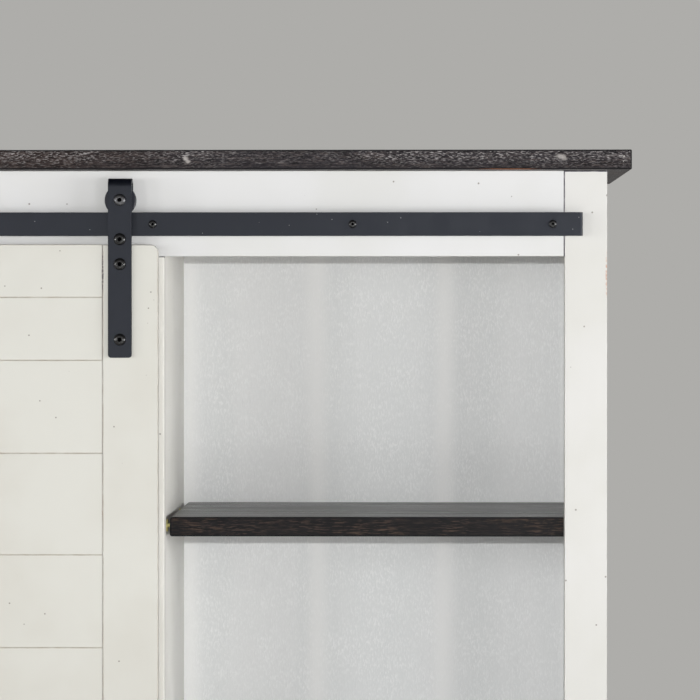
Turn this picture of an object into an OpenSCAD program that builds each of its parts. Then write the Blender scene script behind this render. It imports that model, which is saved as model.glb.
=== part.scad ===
// Sideboard buffet: two open bays behind one sliding plank door.
// X runs along the front, Y from front to back, Z up from the floor.

/* [Top board] */
// Length, side to side
top_w = 1214; // [1150:1:1500]
// Depth, front to back
top_d = 457; // [440:1:560]
// Thickness
top_t = 25; // [20:1:40]
// Height of the upper face over the floor
height = 914; // [880:1:980]
// Overhang past each side
side_over = 29; // [10:1:60]
// Overhang past the front frame, which shelters the door
front_over = 40; // [38:1:60]
// Overhang past the back
rear_over = 7; // [4:1:25]
// Easing along the board's edges
top_ease = 1.5; // [0.5:0.1:4]

/* [Case] */
// Width of the front frame's outer stiles, and of the rear stiles
stile_w = 54; // [46:1:75]
// Thickness of the front frame's members
frame_t = 22; // [19:1:28]
// Width of the centre stile and thickness of the partition behind it
centre_w = 27; // [25:1:40]
// Height of the rail under the top board
top_rail_h = 109; // [100:1:130]
// Height of the rail under the bays
bottom_rail_h = 64; // [56:1:90]
// Clear height under the bottom rails
leg_h = 80; // [60:1:140]
// Height of the side and rear top rails
back_rail_h = 60; // [50:1:80]
// Thickness of the side frames
side_t = 22; // [20:1:28]
// Thickness of the side panels
panel_t = 16; // [13:1:18]
// Overlap of a panel in its rebate
panel_lap = 10; // [6:1:12]
// Thickness of the back panel
back_t = 6; // [4:1:9]
// Thickness of the floor panel
floor_t = 18; // [15:1:25]
// Section of the square cleats
cleat = 20; // [16:1:25]
// Length of a tenon
tenon_l = 15; // [10:1:18]
// Thickness of a tenon
tenon_t = 10; // [6:1:12]
// Shoulder left beside a tenon
tenon_shoulder = 6; // [4:1:8]
// Easing along the edges of painted boards
edge_ease = 0.8; // [0.3:0.1:2]
// Diameter of a foot glide
glide_d = 28; // [20:1:30]
// Thickness of a foot glide
glide_t = 4; // [3:0.5:8]

/* [Shelves] */
// Thickness of a shelf
shelf_t = 25; // [20:1:32]
// Height of a shelf's upper face over the floor panel
shelf_rise = 302; // [150:1:450]
// How far a shelf's front edge lies behind the front frame's face
shelf_set = 25; // [24:1:60]
// Gap left at each end of a shelf
shelf_gap = 5; // [3:0.5:8]
// Gap left behind a shelf
shelf_rear_gap = 2; // [1:0.5:6]
// Radius along a shelf's ends
shelf_round = 3; // [1:0.5:6]
// Diameter of a shelf pin
pin_d = 5; // [4:0.5:6]
// Depth of a pin in the wood
pin_in = 10; // [7:1:11]
// How far a pin reaches into the shelf's end
pin_reach = 8; // [5:0.5:10]
// Diameter of a pin's collar
pin_collar_d = 16; // [9:1:18]
// Thickness of a pin's collar
pin_collar_t = 2; // [1:0.5:2.5]
// Distance from a shelf's upper face down to its pins
pin_drop = 11.5; // [9.5:0.5:13]
// Distance from the front frame's face to the front pins
pin_front = 40; // [36:1:60]
// Distance from the front frame's face to the rear pins
pin_rear = 300; // [240:1:360]

/* [Track] */
// Height of the flat bar
track_h = 30; // [25:1:40]
// Thickness of the flat bar
track_t = 5; // [4:0.5:6]
// Distance from the top board's underside to the bar's upper edge
track_drop = 53.5; // [50:0.5:60]
// Distance from the case's side to the bar's end
track_inset = 32; // [28:1:60]
// Distance from the bar's end to its last screw
track_screw_inset = 38; // [15:1:60]
// Length of the spacers that hold the bar off the frame
spacer_l = 15.5; // [15:0.5:17]
// Diameter of the spacers
spacer_d = 12; // [10:0.5:16]

/* [Wheels and hangers] */
// Radius at the bottom of a wheel's groove
groove_r = 15; // [13:0.5:20]
// Height of a wheel's flanges over the groove
flange_h = 4.75; // [3:0.25:5]
// Width of a wheel
wheel_w = 16; // [14:0.5:18]
// Free play of the bar in the groove, each side
groove_play = 0.5; // [0.3:0.1:1]
// Chamfer of a wheel's rims
wheel_chamfer = 1.5; // [1:0.1:2]
// Gap beside a wheel in its hanger
wheel_side_gap = 1; // [0.5:0.1:1.5]
// Gap between a wheel and the bend over it
wheel_top_gap = 2.8; // [2:0.1:5]
// Gap between a wheel's groove and the bar
roll_gap = 0.3; // [0.2:0.05:0.5]
// Width of a hanger
hanger_w = 30; // [25:1:40]
// Thickness of a hanger
hanger_t = 5; // [4:0.5:6]
// Length of a hanger below its axle
hanger_below = 200; // [150:1:240]
// Length of a hanger's rear leg below its axle
hanger_tail = 12; // [9:0.5:14]
// Outer radius of the bend
hanger_bend = 11; // [8:0.5:12]
// Corner radius at a hanger's foot
hanger_round = 4; // [2:0.5:8]
// Distance from the door's edge to a hanger's centre line
hanger_inset = 48; // [36:1:50]
// Diameter of the hanger bolts
bolt_d = 8; // [6:1:9]
// Diameter of the bolts' heads
head_d = 15.5; // [13:0.5:18]
// Height of the bolts' heads
head_h = 4.5; // [3.5:0.5:6]
// Width of the hexagon sockets across their corners
socket_w = 5.8; // [4:0.1:7]
// Outer diameter of a wheel's bush
bush_d = 12; // [11:0.5:16]
// Distance from the door's top edge to the upper door bolt
bolt_high = 25; // [20:1:60]
// Distance from a hanger's foot to the lower door bolt
bolt_low = 23; // [14:1:40]

/* [Door] */
// Thickness of the door
door_t = 22; // [20:1:24]
// Gap between the bar's lower edge and the door
door_drop = 11; // [9:0.5:20]
// How far the door's edge lies past the case's centre line
door_past = 7; // [0:1:12]
// How far the door reaches below the bays' floor
door_lap = 8.5; // [5:0.5:12]
// Width of the door's stiles
door_stile_w = 70; // [66:1:90]
// Height of the outermost boards
board_a = 67; // [55:1:80]
// Height of the boards next to them
board_b = 80; // [60:1:95]
// Height of the boards beside the middle one
board_c = 118; // [90:1:125]
// Depth of the V edges along the boards
v_edge = 1; // [0.5:0.1:2]
// Thickness of the boards' tongues
tongue_t = 8; // [6:0.5:10]
// Length of the boards' end tongues
tongue_l = 10; // [6:1:12]
// Radius of the door's corners
door_round = 7; // [3:0.5:12]

/* [Guide and pull] */
// Sheet thickness of the guide rail
guide_t = 3; // [2:0.5:3.5]
// Height of the guide rail's flange on the frame
guide_flange = 24; // [20:1:26]
// Gap between the door's lower edge and the guide rail
guide_gap = 10; // [8:0.5:12]
// How far the guide's lip reaches into the door
guide_reach = 8; // [5:0.5:10]
// Free play of the lip in the door's groove, each side
guide_play = 1.5; // [0.5:0.1:2]
// Length of the stop blocks at the guide's ends
stop_l = 14; // [8:1:18]
// Thickness of the rubber on a stop block
buffer_t = 4; // [2:0.5:6]
// Gap between a buffer and the door at the end of its travel
stop_gap = 0.5; // [0.3:0.1:2]
// Height of the flush pull
pull_h = 140; // [120:1:200]
// Width of the flush pull
pull_w = 36; // [30:1:44]
// Depth of the flush pull's cup
cup_depth = 12; // [8:1:14]

/* [Hidden] */
$fn = 48;

// Clearances
hole_slack = 0.2;
run_slack = 0.05;
pocket_slack = 0.2;
jump_gap = 0.5;
pin_slack = 0.6;

// Case planes
case_x = top_w / 2 - side_over;
bay_x = case_x - stile_w;
side_x = case_x - side_t;
mid_x = centre_w / 2;
front_y = -top_d / 2 + front_over;
frame_y = front_y + frame_t;
rear_y = top_d / 2 - rear_over;
back_y = rear_y - back_t;
rear_rail_y = back_y - frame_t;
under_z = height - top_t;
rail_z = under_z - top_rail_h;
floor_z = leg_h + bottom_rail_h;
back_rail_z = under_z - back_rail_h;
side_front_y = front_y + stile_w;
side_rear_y = rear_y - stile_w;
block_w = stile_w - side_t;
block_rear_y = rear_rail_y - block_w;
tenon_y = (frame_t - tenon_t) / 2;
side_tenon_x = side_t - tenon_t - (side_t - panel_t);

// Track and wheels
track_top = under_z - track_drop;
track_mid = track_top - track_h / 2;
track_low = track_top - track_h;
track_x = case_x - track_inset;
track_back_y = front_y - spacer_l;
track_front_y = track_back_y - track_t;
screw_count = 5;
screw_pitch = 2 * (track_x - track_screw_inset) / (screw_count - 1);
wheel_y = track_back_y - track_t / 2;
wheel_r = groove_r + flange_h;
axle_z = track_top + roll_gap + groove_r;
leg_gap = wheel_w + 2 * wheel_side_gap;
hanger_y = wheel_y - leg_gap / 2;
tail_y = wheel_y + leg_gap / 2;
hanger_top = axle_z + wheel_r + wheel_top_gap + hanger_t;
hanger_foot = axle_z - hanger_below;
jump_z = track_low - jump_gap - bolt_d / 2;

// Door
door_x0 = -track_x;
door_x1 = door_past;
door_y0 = hanger_y;
door_mid_y = door_y0 + door_t / 2;
door_top = track_low - door_drop;
door_low = floor_z - door_lap;
door_h = door_top - door_low;
board_mid = door_h - 2 * (board_a + board_b + board_c);
boards = [board_a, board_b, board_c, board_mid, board_c, board_b, board_a];
board_tongue = 6;
boards_x0 = door_x0 + door_stile_w;
boards_x1 = door_x1 - door_stile_w;
hangers_x = [door_x0 + hanger_inset, door_x1 - hanger_inset];
bolts_z = [door_top - bolt_high, hanger_foot + bolt_low];
nut_barrel_d = bolt_d + 2.4;
nut_flange_d = 18;
nut_flange_t = 1.5;
nut_barrel_l = 9;
nut_end_gap = 1;
pull_x = door_x0 + door_stile_w / 2;
pull_z = (door_top + door_low) / 2;
pull_flange_t = 2;
pull_wall = 1.5;
pull_rim = 5;
pull_screw_inset = 10;
cup_w = pull_w - 2 * pull_rim;
cup_h = pull_h - 4 * pull_screw_inset;
pull_screw_d = 3.5;

// Guide
guide_web_z = door_low - guide_gap - guide_t;
guide_lip_z = door_low + guide_reach;
guide_lip_y = door_mid_y - guide_t / 2;
groove_clear = 4;
stop_x = track_x + stop_gap;
guide_x = stop_x + buffer_t + stop_l;
stop_top = door_low + 12;
guide_screw_d = 4;

// Fasteners
lag_d = 6;
lag_head_d = 10.5;
lag_head_h = 3.3;
lag_tip = 4;
wood_screw_d = 4;
wood_head_d = 8;
wood_head_h = 2.2;
top_screw_in = 16;
cleat_screw_in = 14;
back_screw_in = 14;
cleat_end = 60;
back_screw_side = 40;
pull_screw_in = 15;
nail_d = 3;
nail_l = 14;
shelf_top = floor_z + shelf_rise;
shelf_low = shelf_top - shelf_t;
pin_z = shelf_top - pin_drop;
groove_front_y = front_y + pin_front - pin_d / 2 - pin_slack;

// ---- shapes that repeat ----

// A flat outline with its corners cut by e
module cut_corners(w, h, e) {
    polygon([[e, 0], [w - e, 0], [w, e], [w, h - e], [w - e, h], [e, h], [0, h - e], [0, e]]);
}

// A board from one corner, with every edge eased by e
module board(at, size, e = edge_ease) {
    translate(at) intersection() {
        linear_extrude(size.z) cut_corners(size.x, size.y, e);
        translate([0, size.y, 0]) rotate([90, 0, 0])
            linear_extrude(size.y) cut_corners(size.x, size.z, e);
        rotate([90, 0, 90]) linear_extrude(size.x) cut_corners(size.y, size.z, e);
    }
}

// A sharp-edged block from one corner
module block(at, size) {
    translate(at) cube(size);
}

// A rectangle with round corners
module round_rect(w, h, r) {
    translate([r, 0]) square([w - 2 * r, h]);
    translate([0, r]) square([w, h - 2 * r]);
    for (x = [r, w - r], y = [r, h - r]) translate([x, y]) circle(r);
}

// A rod along +Y from y0 to y1
module rod_y(x, z, y0, y1, d) {
    translate([x, y0, z]) rotate([-90, 0, 0]) cylinder(d = d, h = y1 - y0);
}

// A button head that stands out towards -Y from the plane y, with a hexagon socket
module button_head(x, z, y, d, h, socket) {
    dome_r = (d * d / 4 + h * h) / (2 * h);
    difference() {
        intersection() {
            rod_y(x, z, y - h, y, d);
            translate([x, y - h + dome_r, z]) sphere(dome_r);
        }
        translate([x, y - h + h * 0.6, z]) rotate([90, 0, 0])
            cylinder(d = socket, h = h, $fn = 6);
    }
}

// Both ends of something that lies alike on the left and the right
module both_sides() {
    children();
    mirror([1, 0, 0]) children();
}

// Everything on one side only: 1 is the right, -1 the left
module on_side(s) {
    if (s > 0) children();
    else mirror([1, 0, 0]) children();
}

// ---- top ----

// Places of the screws that come up through the cleats into the top board
function top_screw_x() = let (a = mid_x + cleat_end, b = side_x - cleat_end) [a, (a + b) / 2, b];
function top_cleat_y() = [frame_y, rear_rail_y - cleat];

module top_screw_places() {
    both_sides() for (x = top_screw_x(), y = top_cleat_y())
        translate([x, y + cleat / 2, under_z - cleat]) children();
}

module top_board() color([0.25, 0.23, 0.23]) difference() {
    board([-top_w / 2, -top_d / 2, under_z], [top_w, top_d, top_t], top_ease);
    top_screw_places() cylinder(d = wood_screw_d + 2 * hole_slack, h = cleat + top_screw_in + 1);
}

module top_cleats() color([0.80, 0.72, 0.58]) difference() {
    both_sides() for (y = top_cleat_y())
        board([mid_x, y, under_z - cleat], [side_x - mid_x, cleat, cleat]);
    top_screw_places() translate([0, 0, -1])
        cylinder(d = wood_screw_d + 2 * hole_slack, h = cleat + 2);
}

module top_screws() color([0.70, 0.68, 0.60]) top_screw_places() {
    translate([0, 0, -wood_head_h]) cylinder(d = wood_head_d, h = wood_head_h);
    cylinder(d = wood_screw_d, h = cleat + top_screw_in);
}

// ---- front frame ----

module rail_tenons(z, h, grow = 0) {
    both_sides() block([bay_x - grow, front_y + tenon_y, z + tenon_shoulder],
        [tenon_l + grow, tenon_t, h - 2 * tenon_shoulder]);
}

module centre_tenons(grow = 0) {
    block([-mid_x + tenon_shoulder, front_y + tenon_y, floor_z - tenon_l],
        [centre_w - 2 * tenon_shoulder, tenon_t, tenon_l + grow]);
    block([-mid_x + tenon_shoulder, front_y + tenon_y, rail_z - grow],
        [centre_w - 2 * tenon_shoulder, tenon_t, tenon_l + grow]);
}

module track_screw_places() {
    for (i = [0 : screw_count - 1])
        translate([(i - (screw_count - 1) / 2) * screw_pitch, 0, track_mid]) children();
}

module guide_screw_places() {
    for (i = [0 : screw_count - 1])
        translate([(i - (screw_count - 1) / 2) * screw_pitch, 0, guide_web_z - guide_flange / 2])
            children();
}

module front_stile() difference() {
    board([bay_x, front_y, glide_t], [stile_w, frame_t, under_z - glide_t]);
    rail_tenons(rail_z, top_rail_h);
    rail_tenons(leg_h, bottom_rail_h);
}

module front_stile_left() color([0.92, 0.92, 0.90]) on_side(-1) front_stile();
module front_stile_right() color([0.92, 0.92, 0.90]) on_side(1) front_stile();

module front_top_rail() color([0.92, 0.92, 0.90]) difference() {
    union() {
        board([-bay_x, front_y, rail_z], [2 * bay_x, frame_t, top_rail_h]);
        rail_tenons(rail_z, top_rail_h, grow = 2);
    }
    centre_tenons();
    track_screw_places() rod_y(0, 0, front_y - 1, frame_y - lag_tip, lag_d + 2 * hole_slack);
}

module front_bottom_rail() color([0.92, 0.92, 0.90]) difference() {
    union() {
        board([-bay_x, front_y, leg_h], [2 * bay_x, frame_t, bottom_rail_h]);
        rail_tenons(leg_h, bottom_rail_h, grow = 2);
    }
    centre_tenons();
    guide_screw_places()
        rod_y(0, 0, front_y - 1, frame_y - lag_tip, guide_screw_d + 2 * hole_slack);
}

module centre_stile() color([0.92, 0.92, 0.90]) union() {
    board([-mid_x, front_y, floor_z], [centre_w, frame_t, rail_z - floor_z]);
    centre_tenons(grow = 2);
}

// ---- sides: a frame of stiles and rails round a rebated panel ----

side_low = floor_z - panel_lap;
side_high = back_rail_z + panel_lap;

module side_panel() {
    board([side_x, side_front_y - panel_lap, side_low],
        [panel_t, side_rear_y - side_front_y + 2 * panel_lap, side_high - side_low]);
}

// The rebate is the panel's own sharp-edged block
module side_rebate() {
    block([side_x - 1, side_front_y - panel_lap, side_low],
        [panel_t + 1, side_rear_y - side_front_y + 2 * panel_lap, side_high - side_low]);
}

module side_tenons(z, h, grow = 0) {
    for (s = [0, 1])
        block([side_x + side_tenon_x, s == 0 ? side_front_y - tenon_l : side_rear_y - grow,
            z + tenon_shoulder], [tenon_t, tenon_l + grow, h - 2 * tenon_shoulder]);
}

// A tenon clears the panel's rebate by this much
tenon_room = 4;
low_tenon_h = bottom_rail_h - panel_lap - tenon_room + tenon_shoulder;
high_tenon_z = side_high + tenon_room - tenon_shoulder;
high_tenon_h = under_z - high_tenon_z;

module all_side_tenons() {
    side_tenons(leg_h, low_tenon_h);
    side_tenons(high_tenon_z, high_tenon_h);
}

module pin_places(s) {
    for (y = [pin_front, pin_rear])
        translate([s > 0 ? mid_x : side_x, front_y + y, pin_z]) children();
}

module pin_holes() {
    for (s = [-1, 1]) pin_places(s) translate([s > 0 ? -pin_in : -1, 0, 0]) rotate([0, 90, 0])
        cylinder(d = pin_d + 2 * hole_slack, h = pin_in + 1);
}

module side_front_stile() difference() {
    board([side_x, frame_y, glide_t], [side_t, side_front_y - frame_y, under_z - glide_t]);
    side_rebate();
    all_side_tenons();
    pin_holes();
}

module side_rear_stile() difference() {
    board([side_x, side_rear_y, glide_t], [side_t, stile_w, under_z - glide_t]);
    side_rebate();
    all_side_tenons();
    rear_rail_tenons(0);
    block([side_x - 1, back_y, leg_h], [panel_lap + 1, back_t + 10, under_z - leg_h]);
}

module side_rail(z, h) difference() {
    board([side_x, side_front_y, z], [side_t, side_rear_y - side_front_y, h]);
    side_rebate();
    cleat_screw_places() cylinder(d = wood_screw_d + 2 * hole_slack, h = cleat + cleat_screw_in);
}

module side_top_rail() {
    side_rail(back_rail_z, back_rail_h);
    side_tenons(high_tenon_z, high_tenon_h, grow = 2);
}

module side_bottom_rail() {
    side_rail(leg_h, bottom_rail_h);
    side_tenons(leg_h, low_tenon_h, grow = 2);
}

module side_panel_bored() difference() {
    side_panel();
    pin_holes();
}

module side_front_stile_left() color([0.90, 0.90, 0.88]) on_side(-1) side_front_stile();
module side_front_stile_right() color([0.90, 0.90, 0.88]) on_side(1) side_front_stile();
module side_rear_stile_left() color([0.90, 0.90, 0.88]) on_side(-1) side_rear_stile();
module side_rear_stile_right() color([0.90, 0.90, 0.88]) on_side(1) side_rear_stile();
module side_top_rail_left() color([0.90, 0.90, 0.88]) on_side(-1) side_top_rail();
module side_top_rail_right() color([0.90, 0.90, 0.88]) on_side(1) side_top_rail();
module side_bottom_rail_left() color([0.90, 0.90, 0.88]) on_side(-1) side_bottom_rail();
module side_bottom_rail_right() color([0.90, 0.90, 0.88]) on_side(1) side_bottom_rail();
module side_panel_left() color([0.88, 0.88, 0.86]) on_side(-1) side_panel_bored();
module side_panel_right() color([0.88, 0.88, 0.86]) on_side(1) side_panel_bored();

// ---- back and floor ----

rear_low_h = floor_z - floor_t - leg_h;

module rear_rail_tenon(z, h, grow) {
    both_sides() block([side_x - grow, rear_rail_y + tenon_y, z + tenon_shoulder],
        [panel_lap + grow, tenon_t, h - 2 * tenon_shoulder]);
}

module rear_rail_tenons(grow) {
    rear_rail_tenon(back_rail_z, back_rail_h, grow);
    rear_rail_tenon(leg_h, rear_low_h, grow);
}

module rear_rail(z, h) color([0.86, 0.84, 0.78]) difference() {
    union() {
        board([-side_x, rear_rail_y, z], [2 * side_x, frame_t, h]);
        rear_rail_tenon(z, h, 2);
    }
    back_screw_places() rod_y(0, 0, back_y - back_screw_in - 1, rear_y,
        wood_screw_d + 2 * hole_slack);
}

module rear_top_rail() rear_rail(back_rail_z, back_rail_h);
module rear_bottom_rail() rear_rail(leg_h, rear_low_h);

// Screws along the top and bottom rails and up the partition
module back_screw_places() {
    for (x = [-2 : 2], z = [leg_h + rear_low_h / 2, under_z - back_rail_h / 2])
        translate([x * (side_x - back_screw_side) / 2, 0, z]) children();
    for (z = [1 : 3])
        translate([0, 0, floor_z + z * (back_rail_z - floor_z) / 4]) children();
}

module back_panel() color([0.80, 0.80, 0.80]) difference() {
    board([-side_x - panel_lap, back_y, leg_h],
        [2 * (side_x + panel_lap), back_t, under_z - leg_h], 0.5);
    back_screw_places() rod_y(0, 0, back_y - 1, rear_y + 1, wood_screw_d + 2 * hole_slack);
}

module back_screws() color([0.70, 0.68, 0.60]) back_screw_places() {
    rod_y(0, 0, back_y - back_screw_in, rear_y, wood_screw_d);
    rod_y(0, 0, rear_y, rear_y + wood_head_h, wood_head_d);
}

module floor_panel() color([0.84, 0.84, 0.82]) {
    board([-side_x, frame_y, floor_z - floor_t], [2 * side_x, back_y - frame_y, floor_t]);
}

module floor_bearer() color([0.80, 0.72, 0.58]) {
    board([-mid_x, frame_y, leg_h], [centre_w, rear_rail_y - frame_y, rear_low_h]);
}

// Screws through the floor cleats into the side rails
module cleat_screw_places() {
    run = block_rear_y - side_front_y;
    for (t = [1, 3, 5])
        translate([side_x - cleat, side_front_y + t * run / 6, floor_z - floor_t - cleat / 2])
            rotate([0, 90, 0]) children();
}

module floor_cleats() color([0.80, 0.72, 0.58]) both_sides() difference() {
    board([side_x - cleat, side_front_y, floor_z - floor_t - cleat],
        [cleat, block_rear_y - side_front_y, cleat]);
    cleat_screw_places() translate([0, 0, -1])
        cylinder(d = wood_screw_d + 2 * hole_slack, h = cleat + 2);
}

module cleat_screws() color([0.70, 0.68, 0.60]) both_sides() cleat_screw_places() {
    translate([0, 0, -wood_head_h]) cylinder(d = wood_head_d, h = wood_head_h);
    cylinder(d = wood_screw_d, h = cleat + cleat_screw_in - 2);
}

module partition() color([0.86, 0.86, 0.83]) difference() {
    board([-mid_x, frame_y, floor_z], [centre_w, back_y - frame_y, under_z - floor_z]);
    block([-mid_x - 1, rear_rail_y, back_rail_z], [centre_w + 2, frame_t + 1, back_rail_h + 1]);
    both_sides() pin_holes();
    back_screw_places() rod_y(0, 0, back_y - back_screw_in - 1, rear_y,
        wood_screw_d + 2 * hole_slack);
}

// ---- feet ----

module corner_places() {
    both_sides() for (y = [frame_y, block_rear_y]) translate([bay_x, y, 0]) children();
}

module corner_blocks() color([0.80, 0.72, 0.58]) corner_places() difference() {
    board([0, 0, glide_t], [side_x - bay_x, block_w, floor_z - floor_t - glide_t]);
    translate([(side_x - bay_x) / 2, block_w / 2, 0])
        cylinder(d = nail_d + 2 * hole_slack, h = glide_t + nail_l);
}

module foot_glides() color([0.35, 0.33, 0.32]) corner_places()
    translate([(side_x - bay_x) / 2, block_w / 2, 0]) {
        cylinder(d = glide_d, h = glide_t);
        cylinder(d = nail_d, h = glide_t + nail_l - 1);
    }

// ---- shelves ----

// The groove along a shelf's ends, open at the rear, whose roof lies on the pins
module shelf_groove(x) {
    block([x, groove_front_y, pin_z - pin_d / 2 - pin_slack],
        [pin_reach + 2, back_y - groove_front_y, pin_d + pin_slack]);
}

module shelf() difference() {
    w = side_x - mid_x - 2 * shelf_gap;
    d = back_y - shelf_rear_gap - front_y - shelf_set;
    translate([mid_x + shelf_gap, front_y + shelf_set + d, shelf_low]) rotate([90, 0, 0])
        linear_extrude(d) round_rect(w, shelf_t, shelf_round);
    shelf_groove(mid_x + shelf_gap - 1);
    shelf_groove(side_x - shelf_gap - pin_reach - 1);
}

module shelf_left() color([0.28, 0.26, 0.25]) on_side(-1) shelf();
module shelf_right() color([0.28, 0.26, 0.25]) on_side(1) shelf();

// A pin from the wood into the shelf's groove, with a collar against the wood
module shelf_pin() rotate([0, 90, 0]) {
    translate([0, 0, -pin_in + 1]) cylinder(d = pin_d, h = pin_in - 1 + shelf_gap + pin_reach);
    cylinder(d = pin_collar_d, h = pin_collar_t);
}

module shelf_pins() color([0.72, 0.66, 0.40]) both_sides() {
    pin_places(1) shelf_pin();
    pin_places(-1) mirror([1, 0, 0]) shelf_pin();
}

// ---- track ----

module track() color([0.20, 0.21, 0.24]) difference() {
    board([-track_x, track_front_y, track_low], [2 * track_x, track_t, track_h], 0.5);
    track_screw_places()
        rod_y(0, 0, track_front_y - 1, track_back_y + 1, lag_d + 2 * hole_slack);
}

module track_spacers() color([0.18, 0.19, 0.21]) track_screw_places() difference() {
    rod_y(0, 0, track_back_y, front_y, spacer_d);
    rod_y(0, 0, track_back_y - 1, front_y + 1, lag_d + 2 * hole_slack);
}

module track_screws() color([0.16, 0.17, 0.19]) track_screw_places() {
    button_head(0, 0, track_front_y, lag_head_d, lag_head_h, socket_w * 0.65);
    rod_y(0, 0, track_front_y - 1, frame_y - lag_tip - 1, lag_d);
}

// ---- guide rail and stops ----

// The rail's section, drawn with the frame's face at the left and the door at the right
module guide_section() {
    reach = front_y - guide_lip_y;
    square([guide_t, guide_flange + guide_t]);
    translate([0, guide_flange]) square([reach, guide_t]);
    translate([reach - guide_t, guide_flange])
        square([guide_t, guide_lip_z - guide_web_z]);
}

module guide_rail() color([0.18, 0.19, 0.21]) difference() {
    translate([-guide_x, front_y, guide_web_z - guide_flange]) rotate([90, 0, 90])
        mirror([1, 0]) linear_extrude(2 * guide_x) guide_section();
    guide_screw_places()
        rod_y(0, 0, front_y - guide_t - 1, front_y + 1, guide_screw_d + 2 * hole_slack);
}

module guide_screws() color([0.16, 0.17, 0.19]) guide_screw_places() {
    rod_y(0, 0, front_y - guide_t, frame_y - lag_tip - 1, guide_screw_d);
    rod_y(0, 0, front_y - guide_t - wood_head_h, front_y - guide_t, wood_head_d);
}

module stop_block_shape() {
    board([stop_x + buffer_t, door_y0 + 2, guide_web_z + guide_t],
        [stop_l, door_t - 4, stop_top - guide_web_z - guide_t], 1);
}

module stop_blocks() color([0.18, 0.19, 0.21]) both_sides() difference() {
    stop_block_shape();
    block([stop_x, guide_lip_y, 0], [guide_x, guide_t, guide_lip_z]);
}

module stop_buffers() color([0.10, 0.10, 0.10]) both_sides() difference() {
    board([stop_x, door_y0 + 4, guide_web_z + guide_t],
        [buffer_t, door_t - 8, stop_top - guide_web_z - guide_t - 2], 0.8);
    block([stop_x - 1, guide_lip_y - 0.2, 0], [guide_x, guide_t + 0.4, guide_lip_z + 0.2]);
}

// ---- door ----

function board_low(i) = i < 0 ? door_top : board_low(i - 1) - boards[i];

// What is cut away outside the door's round corners
module door_corner_cut() {
    r = door_round;
    for (x = [0, 1], z = [0, 1])
        translate([x == 0 ? door_x0 : door_x1, 0, z == 0 ? door_low : door_top])
            mirror([x, 0, 0]) mirror([0, 0, z]) difference() {
                block([-1, door_y0 - 1, -1], [r + 1, door_t + 2, r + 1]);
                rod_y(r, r, door_y0 - 2, door_y0 + door_t + 2, 2 * r);
            }
}

// The groove that the guide's lip runs in
module guide_groove() {
    block([door_x0 - 1, guide_lip_y - guide_play, door_low - 1],
        [door_x1 - door_x0 + 2, guide_t + 2 * guide_play, guide_reach + groove_clear + 1]);
}

// The groove along a stile's inner edge, and the boards' tongues that fill it
module stile_groove(x, z, h) {
    block([x, door_mid_y - tongue_t / 2, z], [tongue_l, tongue_t, h]);
}

module hanger_bolt_places() {
    for (x = hangers_x, z = bolts_z) translate([x, 0, z]) children();
}

module hanger_nut_holes() hanger_bolt_places() {
    back = door_y0 + door_t;
    rod_y(0, 0, door_y0 - 1, back + 1, bolt_d + 2 * hole_slack);
    rod_y(0, 0, back - nut_flange_t - nut_barrel_l, back + 1, nut_barrel_d + 2 * hole_slack);
    rod_y(0, 0, back - nut_flange_t, back + 1, nut_flange_d + 2 * hole_slack);
}

module pull_pocket() {
    block([pull_x - cup_w / 2 - pocket_slack, door_y0 - 1, pull_z - cup_h / 2 - pocket_slack],
        [cup_w + 2 * pocket_slack, cup_depth + 1 + pocket_slack, cup_h + 2 * pocket_slack]);
    pull_screw_places()
        rod_y(0, 0, door_y0 - 1, door_y0 + pull_screw_in + 1, pull_screw_d + 2 * hole_slack);
}

module door_stile(x0) difference() {
    board([x0, door_y0, door_low], [door_stile_w, door_t, door_h], v_edge);
    stile_groove(boards_x0 - tongue_l, door_low - 1, door_h + 2);
    stile_groove(boards_x1, door_low - 1, door_h + 2);
    guide_groove();
    door_corner_cut();
    hanger_nut_holes();
    pull_pocket();
}

module door_stile_left() color([0.90, 0.89, 0.86]) door_stile(door_x0);
module door_stile_right() color([0.90, 0.89, 0.86]) door_stile(boards_x1);

module door_board(i) color([0.89, 0.88, 0.85]) difference() {
    z = board_low(i);
    w = boards_x1 - boards_x0;
    tongue_y = door_mid_y - tongue_t / 2;
    union() {
        board([boards_x0, door_y0, z], [w, door_t, boards[i]], v_edge);
        stile_groove(boards_x0 - tongue_l, z, boards[i]);
        stile_groove(boards_x1, z, boards[i]);
        block([boards_x0 - 0.5, tongue_y, z + v_edge], [w + 1, tongue_t, boards[i] - 2 * v_edge]);
        if (i > 0) block([boards_x0 + 1, tongue_y, z + boards[i] - 2],
            [w - 2, tongue_t, board_tongue + 2]);
    }
    if (i < len(boards) - 1)
        block([boards_x0 + 1, tongue_y, z - 1], [w - 2, tongue_t, board_tongue + 1]);
    else guide_groove();
}

module door_board_1() door_board(0);
module door_board_2() door_board(1);
module door_board_3() door_board(2);
module door_board_4() door_board(3);
module door_board_5() door_board(4);
module door_board_6() door_board(5);
module door_board_7() door_board(6);

// ---- hangers, wheels and their bolts ----

// The bent strap's outline seen from its edge: Y to the right, Z up
module hanger_outline() {
    outer_w = leg_gap + 2 * hanger_t;
    inner_r = hanger_bend - hanger_t;
    full_h = hanger_top - hanger_foot;
    difference() {
        union() {
            square([outer_w, full_h - hanger_bend]);
            translate([hanger_bend, 0]) square([outer_w - 2 * hanger_bend, full_h]);
            for (y = [hanger_bend, outer_w - hanger_bend])
                translate([y, full_h - hanger_bend]) circle(hanger_bend);
        }
        translate([hanger_t, -1]) square([leg_gap, full_h - hanger_bend + 1]);
        translate([hanger_bend, 0]) square([outer_w - 2 * hanger_bend, full_h - hanger_t]);
        for (y = [hanger_bend, outer_w - hanger_bend])
            translate([y, full_h - hanger_bend]) circle(inner_r);
        translate([hanger_t + leg_gap - 1, -1])
            square([hanger_t + 2, hanger_below - hanger_tail + 1]);
    }
}

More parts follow.
